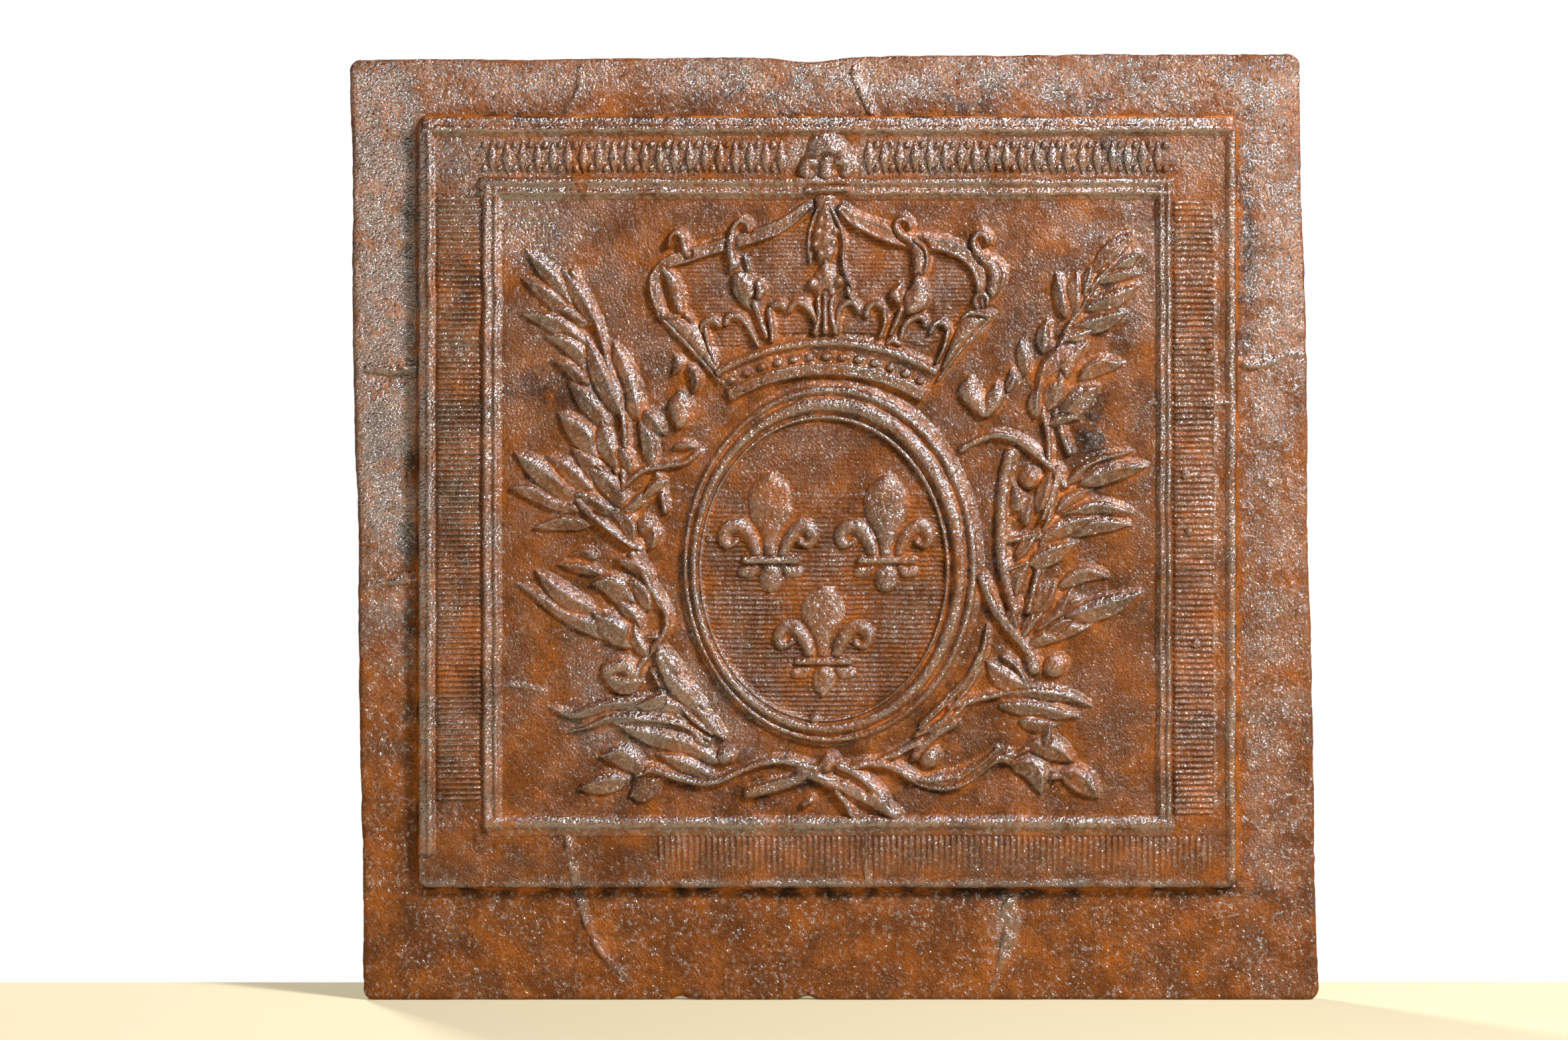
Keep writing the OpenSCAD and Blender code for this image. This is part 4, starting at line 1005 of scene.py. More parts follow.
crown = {
    "circletAt": (-8, 452), "rims": (186, 225), "ends": (59, 121),
    # height over the circlet's width, from its inner rim outwards
    "section": [(0, 0.5), (0.05, 0.75), (0.16, 0.72), (0.24, 0.7), (0.3, 0.85), (0.35, 0.3),
        (0.4, 0.22), (0.66, 0.26), (0.72, 0.2), (0.77, 0.7), (0.84, 1), (0.92, 0.9), (1, 0.4)],
    "rise": 8.8, "jewels": 13, "jewelRadius": 5.2, "jewelRise": 3.4,
    # straps and ribs: widths, points and rise, in the order in which they lie over each other
    "arches": [
        ([9, 13, 15, 15, 14, 13, 14, 12, 10, 9, 8, 6], [(-28, 811), (-42, 799), (-60, 788),
            (-82, 780), (-105, 773), (-128, 767), (-150, 760), (-170, 753), (-182, 741),
            (-184, 725), (-180, 710), (-175, 700)], 8.6),
        ([9, 12, 16, 17, 15, 13, 14, 14, 14, 12, 11, 8], [(8, 808), (20, 797), (40, 788),
            (60, 780), (80, 775), (100, 773), (118, 769), (134, 761), (146, 748), (150, 733),
            (151, 718), (149, 706)], 8.8),
    ],
    "curls": [
        ([5, 6, 7, 8, 9, 9], [(-168, 771), (-167, 779), (-161, 784), (-155, 779), (-153, 769),
            (-149, 762)], 8.5),
        ([5, 12, 16, 15, 8], [(-175, 747), (-167, 738), (-162, 727), (-159, 715), (-157, 704)], 9),
        ([6, 7, 8, 8, 9, 10, 12, 16], [(-87, 786), (-89, 793), (-96, 796), (-102, 790),
            (-105, 779), (-106, 767), (-103, 752), (-98, 740)], 8.6),
        ([4, 5, 6, 8], [(-91, 760), (-88, 750), (-86, 742), (-80, 736)], 7),
        ([16, 27, 27, 14], [(-97, 738), (-91, 728), (-85, 719), (-79, 709)], 9),
        ([8, 11, 8], [(-77, 732), (-75, 724), (-78, 716)], 10),
        ([9, 8, 6], [(-81, 713), (-76, 698), (-69, 678)], 8.5),
        ([5, 6, 7, 8, 9, 10, 17, 19, 14, 9], [(78, 789), (75, 796), (67, 798), (63, 791),
            (67, 783), (77, 777), (86, 768), (88, 757), (87, 746), (85, 738)], 8.8),
        ([4, 5, 5, 4], [(82, 776), (92, 768), (95, 757), (93, 744)], 10),
        ([8, 18, 27, 16], [(85, 738), (86, 727), (84, 716), (78, 707)], 9.4),
        ([8, 13, 8], [(67, 729), (62, 722), (66, 714)], 9.4),
        ([7, 7, 5], [(69, 706), (64, 694), (58, 681)], 8),
        ([7, 8, 8, 8, 9, 10], [(157, 774), (154, 781), (147, 783), (142, 776), (144, 767),
            (150, 758)], 8.8),
        ([4, 12, 16, 14, 6], [(149, 757), (159, 751), (164, 740), (162, 727), (156, 714)], 9.6),
        ([3, 4, 5, 4], [(158, 759), (168, 752), (173, 741), (170, 729)], 6),
        ([6, 6, 6, 6, 6], [(146, 708), (143, 716), (149, 722), (156, 719), (156, 711)], 8),
    ],
    "plume": [
        ([6, 19, 26, 25, 15, 8], [(-9, 812), (-9, 799), (-9, 785), (-9, 770), (-9, 757),
            (-9, 746)], 7.4),
        ([4, 5, 5, 4, 4, 4, 3], [(-7, 816), (1, 801), (7, 788), (10, 772), (9, 756), (12, 742),
            (19, 727)], 7.5),
        ([3, 4, 4, 3], [(-15, 812), (-23, 792), (-26, 772), (-24, 752)], 5),
        ([6, 14, 27, 26, 16], [(-9, 754), (-9, 745), (-9, 736), (-9, 727), (-9, 718)], 8),
        ([7, 7, 8], [(-16, 716), (-15, 702), (-19, 683)], 8.6),
        ([7, 7, 7], [(-9, 722), (-9, 704), (-9, 683)], 9),
        ([7, 7, 8], [(-2, 716), (-3, 702), (2, 683)], 8.6),
        ([5, 6, 5], [(14, 728), (17, 718), (24, 709)], 6.5),
    ],
    # scales of the plume and pearls: place, radius and rise
    "pearls": [(-17, 784, 5, 9.4), (-8, 790, 5, 9.6), (1, 785, 5, 9.6), (-19, 772, 4.5, 9),
        (-10, 777, 4.5, 9.4), (-1, 773, 5, 9.4), (-14, 763, 4, 8.8), (-5, 762, 4, 8.8),
        (-6, 800, 4, 9), (-14, 797, 4, 8.8), (-22, 732, 6, 10), (4, 734, 7, 10), (-9, 738, 5, 9.6)],
    "sides": [
        ([5, 14, 23, 27, 14], [(-120, 643), (-132, 661), (-144, 677), (-155, 689), (-167, 696)], 7),
        ([5, 14, 23, 27, 14], [(112, 647), (123, 664), (134, 680), (143, 691), (154, 698)], 7.8),
        ([4, 5, 4], [(-180, 701), (-150, 670), (-116, 632)], 5.5),
        ([4, 5, 4], [(162, 700), (132, 668), (106, 634)], 5.5),
        ([4, 6, 7, 5], [(-176, 700), (-164, 698), (-154, 702), (-145, 694)], 8.6),
        ([4, 7, 8, 5], [(130, 696), (138, 702), (147, 702), (157, 699)], 9.4),
    ],
    "fleurons": [
        ([6, 10, 10, 8], [(-134, 683), (-132, 691), (-125, 695), (-117, 690)], 7.5),
        ([7, 6, 5], [(-131, 686), (-128, 669), (-121, 651)], 8),
        ([8, 9, 8, 7, 6, 5], [(-110, 692), (-107, 699), (-98, 699), (-90, 692), (-84, 681),
            (-77, 668)], 7.2),
        ([6, 9, 11, 9], [(-66, 700), (-63, 709), (-55, 711), (-47, 706)], 7.5),
        ([7, 7, 6], [(-66, 705), (-64, 690), (-63, 674)], 8),
        ([8, 10, 9, 8, 7, 6], [(-45, 705), (-40, 712), (-31, 711), (-23, 703), (-18, 692),
            (-18, 680)], 7.4),
        ([6, 8, 8, 8, 6], [(3, 686), (4, 700), (10, 711), (20, 713), (26, 703)], 7),
        ([8, 9, 9, 8], [(33, 700), (36, 709), (45, 712), (51, 704)], 7.4),
        ([7, 7, 5], [(51, 705), (52, 692), (47, 678)], 8),
        ([6, 7, 8, 8, 7], [(68, 676), (72, 689), (81, 697), (90, 698), (94, 690)], 7.2),
        ([7, 8, 8, 7], [(99, 683), (103, 691), (112, 692), (117, 684)], 7.4),
        ([7, 6, 5], [(116, 682), (112, 667), (105, 652)], 8),
        ([5, 9, 5], [(54, 671), (60, 675), (67, 670)], 6),
    ],
    "finial": [
        ([24, 36, 38, 30], [(-9, 876), (-9, 871), (-9, 863), (-9, 856)], 9.4),
        ([8, 13, 14, 9], [(-15, 853), (-26, 856), (-30, 847), (-23, 838)], 8),
        ([8, 13, 15, 9], [(-5, 853), (8, 857), (14, 848), (6, 839)], 8),
        ([14, 15, 22], [(-8, 857), (-8, 846), (-8, 834)], 8.4),
        ([10, 8, 5], [(-20, 838), (-12, 834), (-8, 830)], 7),
        ([10, 8, 5], [(4, 838), (-3, 834), (-8, 830)], 7),
        ([24, 20, 22], [(-9, 822), (-9, 816), (-9, 810)], 6.5),
        ([9, 10, 9], [(-28, 827), (-8, 828), (14, 828)], 9),
    ],
    # outline of the hatched cap behind the arches
    "lining": [(-168, 706), (-176, 735), (-160, 755), (-120, 767), (-60, 782), (-12, 805),
        (8, 805), (50, 780), (100, 767), (140, 750), (158, 728), (146, 704), (112, 676), (92, 668),
        (40, 680), (-8, 684), (-60, 680), (-100, 668), (-128, 668)],
    "hatch": {"pitch": 4.2, "rise": 1.2, "worn": 0.6, "seed": 47.0, "bareAbove": 2000},
}


def drawCirclet():
    layer = layerOf("crown_circlet")
    x, z = mapX - crown["circletAt"][0], mapZ - crown["circletAt"][1]
    radius, turn = np.hypot(x, z), np.degrees(np.arctan2(z, x))
    inner, outer = crown["rims"]
    share = (radius - inner) / (outer - inner)
    at, height = zip(*crown["section"])
    low, high = crown["ends"]
    inside = (share > 0) & (share < 1) & (turn > low) & (turn < high)
    layer[inside] = (np.interp(share, at, height) * crown["rise"])[inside]


drawCirclet()
for strapWidths, strapPoints, strapRise in crown["arches"]:
    drawBand("crown_arches", strapWidths, strapPoints, strapRise)
for crownNode, crownPart in (("crown_arches", "sides"), ("crown_arches", "plume"),
        ("crown_arches", "curls"), ("crown_fleurons", "fleurons"), ("crown_finial", "finial")):
    for ribWidths, ribPoints, ribRise in crown[crownPart]:
        drawStroke(crownNode, ribWidths, ribPoints, ribRise, over=0.7)
for pearlX, pearlZ, pearlRadius, pearlRise in crown["pearls"]:
    drawDome("crown_arches", (pearlX, pearlZ), pearlRadius, pearlRise)
makeGround("crownLining", "crown_lining", crown["lining"], crown["hatch"])
print("crown is drawn")

# ---- Laurel branches ----

laurel = {
    # node: leaves from behind to before, stems below them and stems over them; each is its
    # width, or one for each point, then its points, a leaf's from the base to the tip
    "laurel_left_upper": {
        "leaves": [
            [16, (-262, 708), (-285, 735), (-315, 767)], [14, (-270, 700), (-295, 722), (-319, 738)],
            [16, (-252, 690), (-280, 705), (-292, 706)], [15, (-244, 692), (-262, 722), (-278, 748)],
            [20, (-248, 655), (-282, 690), (-321, 702)], [17, (-243, 640), (-268, 668), (-296, 680)],
            [13, (-247, 622), (-270, 646), (-288, 655)], [22, (-230, 588), (-252, 614), (-271, 634)],
            [23, (-238, 556), (-262, 582), (-282, 600)], [20, (-222, 546), (-232, 570), (-238, 594)],
            [15, (-186, 548), (-190, 575), (-199, 600)], [15, (-194, 602), (-184, 590), (-172, 578)],
            [22, (-200, 596), (-212, 632), (-225, 674)], [24, (-218, 600), (-236, 638), (-253, 678)],
            [12, (-208, 540), (-214, 556), (-221, 568)], [7, (-163, 566), (-150, 567), (-139, 564)],
            [9, (-164, 640), (-158, 650), (-164, 660)], [12, (-142, 622), (-142, 636), (-150, 650)],
        ],
        "stems": [
            [7, (-216, 520), (-214, 548), (-213, 575), (-216, 604), (-226, 640), (-235, 668),
                (-243, 695), (-256, 721), (-267, 744)],
            [8, (-216, 524), (-196, 541), (-174, 546), (-152, 550), (-139, 560)],
            [6, (-242, 600), (-230, 575), (-222, 540)], [5, (-260, 566), (-240, 545), (-222, 530)],
        ],
        "over": [[4.5, (-213, 575), (-219, 612), (-230, 650), (-238, 678), (-247, 702), (-262, 730)]],
    },
    "laurel_left_middle": {
        "leaves": [
            [20, (-262, 500), (-296, 516), (-333, 525)], [24, (-258, 512), (-292, 535), (-327, 561)],
            [18, (-245, 518), (-270, 540), (-295, 558)], [20, (-226, 520), (-246, 545), (-268, 566)],
            [22, (-212, 505), (-232, 530), (-252, 546)], [15, (-250, 486), (-278, 488), (-308, 483)],
            [16, (-226, 497), (-246, 510), (-268, 520)], [16, (-205, 470), (-212, 490), (-232, 502)],
            [14, (-186, 462), (-184, 478), (-190, 490)], [12, (-190, 520), (-204, 506), (-222, 496)],
            [12, (-172, 530), (-184, 524), (-196, 512)],
        ],
        "stems": [
            [9, (-198, 462), (-212, 470), (-232, 484), (-252, 500), (-272, 524), (-290, 552)],
            [7, (-180, 538), (-176, 520), (-172, 500)],
        ],
        "over": [[6, (-206, 464), (-226, 478), (-244, 494), (-262, 512)]],
    },
    "laurel_left_lower": {
        "leaves": [
            [16, (-205, 366), (-260, 388), (-325, 428)], [18, (-246, 398), (-275, 412), (-305, 440)],
            [11, (-238, 436), (-258, 442), (-281, 446)], [9, (-242, 452), (-256, 458), (-270, 456)],
            [24, (-204, 404), (-226, 424), (-249, 426)], [17, (-198, 380), (-208, 396), (-221, 409)],
            [26, (-198, 366), (-222, 378), (-246, 396)], [14, (-190, 352), (-202, 372), (-203, 388)],
            [16, (-188, 400), (-198, 420), (-214, 430)], [14, (-186, 432), (-202, 444), (-224, 452)],
            [18, (-196, 326), (-214, 322), (-236, 332)],
        ],
        "stems": [
            [8, (-198, 342), (-186, 359), (-174, 374), (-170, 394), (-180, 413), (-194, 434),
                (-200, 458)],
            [[5, 15, 14, 5], (-180, 364), (-173, 352), (-166, 343), (-158, 336)],
            [[7, 15, 13, 14, 5], (-177, 342), (-168, 330), (-158, 316), (-148, 304), (-138, 296)],
            [[5, 9, 8, 3], (-160, 330), (-148, 318), (-140, 308), (-132, 300)],
            [[5, 14, 12, 3], (-140, 300), (-131, 288), (-122, 278), (-112, 268)],
            [[4, 7, 6, 2], (-156, 300), (-144, 288), (-134, 280), (-124, 272)],
            [14, (-177, 352), (-172, 336), (-162, 318)],
            [6, (-196, 344), (-205, 330)], [5, (-180, 372), (-200, 372)],
        ],
        "over": [
            [9, (-179, 355), (-174, 342)], [8, (-166, 332), (-158, 322), (-140, 304)],
            [5, (-186, 338), (-178, 322)], [17, (-230, 338), (-216, 342), (-204, 334)],
            [9, (-176, 404), (-186, 420), (-196, 440), (-206, 456)],
        ],
    },
    "laurel_left_foot": {
        "leaves": [
            [15, (-140, 296), (-172, 302), (-205, 304), (-240, 300), (-268, 292), (-295, 303)],
            [13, (-126, 266), (-160, 282), (-192, 287), (-228, 289), (-250, 280), (-272, 275)],
            [22, (-118, 244), (-150, 262), (-190, 272), (-226, 284)],
            [22, (-196, 236), (-216, 250), (-240, 250)], [21, (-212, 226), (-236, 222), (-262, 216)],
            [22, (-206, 210), (-192, 216), (-176, 228)],
            [16, (-126, 230), (-152, 242), (-182, 253)],
            [14, (-172, 312), (-186, 304), (-206, 300)],
        ],
        "stems": [
            [9, (-200, 232), (-186, 236), (-160, 228), (-133, 223), (-115, 226), (-96, 235),
                (-70, 244), (-46, 246)],
            [7, (-128, 268), (-146, 280), (-160, 292)], [5, (-134, 262), (-148, 272), (-160, 276)],
        ],
        "over": [[4, (-136, 268), (-150, 280)], [4, (-128, 262), (-142, 268)]],
    },
    "laurel_right_upper": {
        "leaves": [
            [16, (266, 746), (284, 768), (304, 785)], [14, (282, 742), (298, 754), (314, 763)],
            [11, (268, 734), (290, 740), (314, 742)], [18, (258, 706), (284, 716), (313, 731)],
            [12, (250, 716), (256, 732), (262, 750)], [16, (246, 704), (244, 722), (248, 744)],
            [12, (237, 698), (231, 716), (226, 744)], [18, (244, 686), (272, 692), (300, 703)],
            [13, (214, 662), (213, 680), (218, 698)], [16, (228, 668), (244, 676), (264, 684)],
            [18, (252, 636), (270, 648), (296, 649)], [24, (232, 594), (250, 614), (270, 628)],
            [30, (212, 622), (230, 650), (258, 672)], [20, (218, 604), (226, 626), (231, 646)],
            [10, (219, 588), (233, 594), (250, 594)], [12, (206, 596), (204, 612), (208, 628)],
            [12, (196, 640), (192, 660), (190, 676)], [11, (176, 622), (182, 634), (180, 646)],
        ],
        "stems": [
            [7, (219, 552), (218, 580), (212, 604), (210, 630), (216, 650), (228, 666), (239, 688),
                (252, 708), (266, 732), (284, 756), (300, 776)],
            [8, (240, 560), (232, 580), (226, 600)],
        ],
        "over": [
            [4, (209, 625), (214, 648), (226, 662), (238, 684)],
            [14, (224, 626), (225, 616)], [4, (262, 728), (280, 748), (296, 770)],
        ],
    },
    "laurel_right_middle": {
        "leaves": [
            [14, (238, 528), (262, 546), (306, 562)], [20, (252, 528), (284, 540), (322, 546)],
            [16, (228, 500), (246, 514), (262, 522)], [14, (234, 496), (268, 504), (306, 498)],
            [18, (236, 478), (268, 486), (303, 486)], [18, (212, 470), (236, 484), (264, 494)],
            [20, (200, 446), (222, 456), (248, 468)], [12, (196, 486), (196, 500), (202, 514)],
            [14, (208, 500), (214, 522), (222, 544)], [12, (186, 452), (196, 466), (206, 476)],
            [11, (184, 500), (186, 514), (182, 528)],
        ],
        "stems": [
            [8, (130, 563), (147, 572), (165, 577), (184, 573), (200, 562), (218, 548), (236, 526)],
            [13, (179, 558), (173, 530), (171, 500), (170, 470), (172, 446), (178, 420), (184, 398)],
            [7, (176, 470), (205, 474), (240, 478)], [8, (198, 398), (208, 440), (218, 490), (230, 540)],
            [5, (176, 440), (205, 450)],
        ],
        "over": [
            [4, (131, 566), (150, 575), (168, 579), (190, 573), (212, 556)],
            [5, (212, 492), (222, 520), (228, 545)], [9, (187, 503), (189, 506)],
        ],
    },
    "laurel_right_lower": {
        "leaves": [
            [18, (200, 364), (245, 384), (290, 402)], [22, (236, 392), (276, 402), (316, 418)],
            [16, (230, 424), (256, 436), (281, 432)], [12, (212, 388), (236, 404), (256, 412)],
            [14, (206, 380), (226, 396), (242, 420)], [10, (216, 376), (230, 384), (244, 390)],
            [18, (184, 414), (186, 432), (200, 450)], [26, (200, 396), (212, 412), (226, 428)],
            [12, (192, 372), (200, 386), (214, 398)], [23, (198, 320), (176, 328), (154, 348)],
            [12, (186, 380), (180, 394), (182, 404)],
        ],
        "stems": [
            [11, (150, 432), (157, 415), (166, 396), (180, 378), (194, 362), (204, 344)],
            [7, (196, 360), (215, 368), (252, 388)], [6, (190, 376), (204, 392), (226, 410)],
        ],
        "over": [
            [15, (200, 352), (204, 340)], [5, (154, 424), (163, 404), (178, 384), (192, 368)],
            [5, (172, 352), (186, 342), (196, 326)],
        ],
    },
    "laurel_right_foot": {
        "leaves": [
            [13, (172, 314), (205, 314), (236, 311), (264, 301)],
            [16, (170, 302), (200, 299), (226, 294), (252, 290)],
            [22, (198, 262), (222, 258), (246, 243)], [24, (232, 234), (250, 226), (271, 207)],
            [22, (182, 242), (204, 236), (212, 210)], [14, (190, 286), (208, 282), (230, 282)],
            [9, (214, 260), (217, 272), (219, 284)],
            [13, (84, 226), (112, 226), (140, 236), (172, 258)],
        ],
        "stems": [
            [10, (18, 238), (34, 243), (58, 240), (80, 228), (105, 220), (128, 222), (148, 236),
                (166, 247), (178, 246), (194, 240), (206, 230), (238, 232)],
            [[8, 10, 8, 2], (84, 272), (104, 282), (122, 292), (138, 306)],
            [[3, 9, 11, 9, 7, 2], (88, 284), (108, 302), (130, 322), (146, 344), (153, 364),
                (156, 384)],
            [[3, 7, 7, 2], (116, 298), (130, 312), (142, 328), (150, 340)],
            [[4, 9, 9, 3], (44, 246), (60, 252), (76, 260), (90, 268)],
            [8, (118, 300), (145, 308), (170, 314)], [8, (176, 252), (188, 252), (200, 262)],
            [12, (84, 252), (100, 270), (122, 284)],
        ],
        "over": [
            [6, (88, 280), (106, 296), (122, 312), (136, 330), (148, 354)],
            [4, (98, 276), (116, 294), (132, 314)], [5, (62, 250), (76, 258), (88, 262)],
            [4, (126, 226), (146, 240), (166, 258)],
        ],
    },
    "crossed_stems": {
        "leaves": [],
        "stems": [
            [14, (-86, 213), (-62, 219), (-40, 226), (-26, 236)],
            [13, (-34, 237), (-10, 226), (20, 213), (44, 201), (62, 190)],
            [11, (6, 240), (26, 230), (44, 214), (50, 204)],
            [10, (-50, 246), (-30, 240), (-20, 238)], [9, (-6, 250), (-14, 240), (-24, 230)],
            [7, (2, 214), (12, 202), (18, 190)],
        ],
        "over": [
            [15, (-4, 246), (-8, 240)], [5, (8, 224), (26, 214)], [5, (52, 201), (60, 190)],
            [12, (38, 210), (46, 204)], [5, (-82, 218), (-60, 224), (-38, 230)],
            [8, (-24, 205), (-30, 202)],
        ],
    },
}
growth = {
    "leafRise": 8.5, "leafWidth": 1.12, "stemRise": 7, "overRise": 8,
    # each leaf's own share of the rise, and where its keel runs
    "rises": (0.8, 1.1), "keels": (0.1, 0.45),
}
fruit = {
    # a berry's middle and radius, and a bud's top, foot and radius
    "berries": [((-192, 485), 10), ((-112, 250), 9), ((199, 533), 11), ((225, 342), 12),
        ((97, 249), 11)],
    "buds": [((-157, 607), (-157, 590), 13), ((137, 622), (152, 600), 11),
        ((165, 617), (156, 600), 10)],
    "berryRise": 8.0, "berrySize": 1.05, "budRise": 7.5, "budWidths": (0.7, 2, 1.7, 1),
}


def drawSpray(node, spray):
    chance = np.random.RandomState(len(node) + 5)
    for width, *points in spray["stems"]:
        drawStroke(node, width, points, growth["stemRise"])
    for width, *points in spray["leaves"]:
        drawLeaf(node, width * growth["leafWidth"], points,
            growth["leafRise"] * chance.uniform(*growth["rises"]),
            chance.uniform(*growth["keels"]))
    for width, *points in spray["over"]:
        drawStroke(node, width, points, growth["overRise"])


def drawFruit():
    for at, radius in fruit["berries"]:
        drawDome("laurel_berries", at, radius * fruit["berrySize"], fruit["berryRise"])
    for top, foot, radius in fruit["buds"]:
        middle = ((top[0] + foot[0]) / 2, (top[1] + foot[1]) / 2)
        drawStroke("laurel_buds", [radius * share for share in fruit["budWidths"]],
            [(top[0], top[1] + radius), top, middle, foot], fruit["budRise"])


for sprayNode, sprayParts in laurel.items():
    drawSpray(sprayNode, sprayParts)
drawFruit()
print("laurel is drawn")

# ---- Veins where the mould cracked, and the joint lines of its boards ----

veins = {
    # lumps as share, size and seed, and what is left of a ridge at least and at most
    "lumps": [(0.9, 9, 77), (0.54, 4, 78)], "left": (0.1, 1.7),
    # width, rise and points of each fine ridge
    "lines": [
        (7, 2.6, [(20, 950), (25, 935), (43, 898)]),
        (6, 1.8, [(-260, 952), (-262, 930), (-275, 905)]),
        (8, 2.6, [(-476, 646), (-450, 644), (-425, 647)]),
        (7, 2.2, [(-477, 424), (-450, 428), (-424, 432)]),
        (5, 1.6, [(-340, 323), (-318, 322), (-295, 317)]),
        (7, 2.4, [(412, 652), (430, 649), (447, 653), (462, 659), (474, 660)]),
        (4, 1.4, [(447, 680), (462, 672)]),
        (4, 1.6, [(320, 611), (350, 609), (385, 610), (408, 611)]),
        (4, 1.4, [(-60, 518), (0, 516), (60, 518), (115, 516)]),
        (7, 2.0, [(-272, 168), (-266, 130), (-256, 88), (-240, 52), (-211, 20)]),
        ([8, 15, 20, 12, 7, 6], 2.6, [(181, 104), (178, 92), (182, 76), (176, 56), (170, 36),
            (161, 10)]),
        (6, 1.8, [(33, 180), (31, 150), (34, 124)]),
        (4, 1.3, [(388, 196), (387, 400), (388, 640), (386, 812)]),
    ],
}
for veinWidth, veinRise, veinPoints in veins["lines"]:
    drawStroke("cast_veins", veinWidth, veinPoints, veinRise)
# they are lumpy and broken, where the metal ran into the cracks
layerOf("cast_veins")[:] *= np.clip(1 + ripple(mapX, mapZ, veins["lumps"]), *veins["left"])

# ---- Skins: each node's share of the height map becomes one closed piece ----

skins = {
    # reach of the blur that rounds each form, the least height that is kept and how far a
    # skin's rim dips below the height that it has there, mm
    "soften": 0.62, "least": 0.3, "dip": 0.5,
    # the sand's grain as height, size and seed, and how far a back is sunk into the panel
    "grain": (0.42, 3.3, 24), "seat": 2.0,
    # the soft foot of each form: its share, how far it is moved (cells) and its blur (mm)
    "foot": 0.42, "footMoved": (2, 2), "footBlur": 2.6,
    # uneven wear: the share that is left, and its waves as share, size and seed
    "worn": 0.9, "wear": [(0.1, 55, 51), (0.07, 14, 52)],
    # where the ornament stands on the panel: left, right, foot and head
    "panelBox": (-422, 407, 118, 899),
}
# the veins are listed under another node, are finer, and run over the plate too
veinSkin = {"layer": "cast_veins", "node": "raised_panel", "least": 0.15, "seat": 3}


def inBox(x, z, box):
    left, right, foot, head = box
    return (x > left) & (x < right) & (z > foot) & (z < head)


def grow(mask):
    wide = mask.copy()
    for axis in (0, 1):
        wide = wide | np.roll(wide, 1, axis) | np.roll(wide, -1, axis)
    return wide


def skinPiece(name, mine, total, own):
    # one closed piece from the cells where a layer stands out above the others
    isVein = name == veinSkin["layer"]
    spots = grow(mine)
    cells = spots[:-1, :-1] & spots[1:, :-1] & spots[:-1, 1:] & spots[1:, 1:]
    for _ in range(4):
        # no two cells may meet at a corner alone
        crossed = cells[:-1, :-1] & cells[1:, 1:] & ~cells[:-1, 1:] & ~cells[1:, :-1]
        cells[:-1, 1:] |= crossed
        crossed = ~cells[:-1, :-1] & ~cells[1:, 1:] & cells[:-1, 1:] & cells[1:, :-1]
        cells[:-1, :-1] |= crossed
    j, i = np.where(cells)
    flat = np.stack([(j + up) * mapX.shape[1] + i + over
        for up, over in ((0, 0), (0, 1), (1, 1), (1, 0))], 1)
    used, faces = np.unique(flat, return_inverse=True)
    faces = faces.reshape(flat.shape)
    x, z = mapX.ravel()[used], mapZ.ravel()[used]
    height = np.where(mine, total, own - skins["dip"]).ravel()[used]
    level = np.where(inBox(x, z, skins["panelBox"]), panelY, plateY)
    grain = ripple(x, z, [skins["grain"]]) * np.clip(height, 0, 1)
    points = np.stack([x, level - castWave(x, z) - height - grain, z], 1)
    back = plateY + veinSkin["seat"] if isVein else panelY + skins["seat"]
    points, faces = closeSheet(points, faces.tolist(), back)
    keepPiece(name.replace("_", " ").title().replace(" ", ""), points, faces,
        [veinSkin["node"] if isVein else name], "relief")


def withFoot(field):
    # the upper right side of each form runs out in a soft foot, as the worn pattern left it
    moved = np.roll(field, skins["footMoved"], (0, 1))
    return np.maximum(soften(field, skins["soften"]),
        skins["foot"] * soften(moved, skins["footBlur"]))


def makeSkins():
    names = list(layers)
    soft = np.array([withFoot(layers[name]) for name in names])
    soft *= skins["worn"] + ripple(mapX, mapZ, skins["wear"])
    total, owner = soft.max(0), soft.argmax(0)
    for n, name in enumerate(names):
        least = veinSkin["least"] if name == veinSkin["layer"] else skins["least"]
        skinPiece(name, (owner == n) & (soft[n] > least), total, soft[n])
    return total


ornamentHeights = makeSkins()
print("skins are made")

# ---- Small things that repeat: studs, jewels and nail heads ----

small = {
    # where each stands, and how large it is: half its width, half its height and its rise, or
    # a round one's radius and rise, mm
    "nails": {"at": [(384, 660), (359, 537), (362, 479), (370, 365)], "radius": 5.2, "rise": 3.4},
    "studs": {"from": 45, "pitch": 15.5, "count": 20, "middle": (-9, 862),
        "lozenge": (5.6, 18, 4.2), "pellet": (3.4, 4.2, 3.4), "pelletsApart": 24},
    # the jewels keep clear of the circlet's ends (degrees) and stand on its own height
    "jewels": {"clear": 3, "flat": 0.8, "height": 2.2}, "nailHeight": 0.3,
    # the least and greatest size of one against the others
    "scatter": (0.88, 1.1),
}


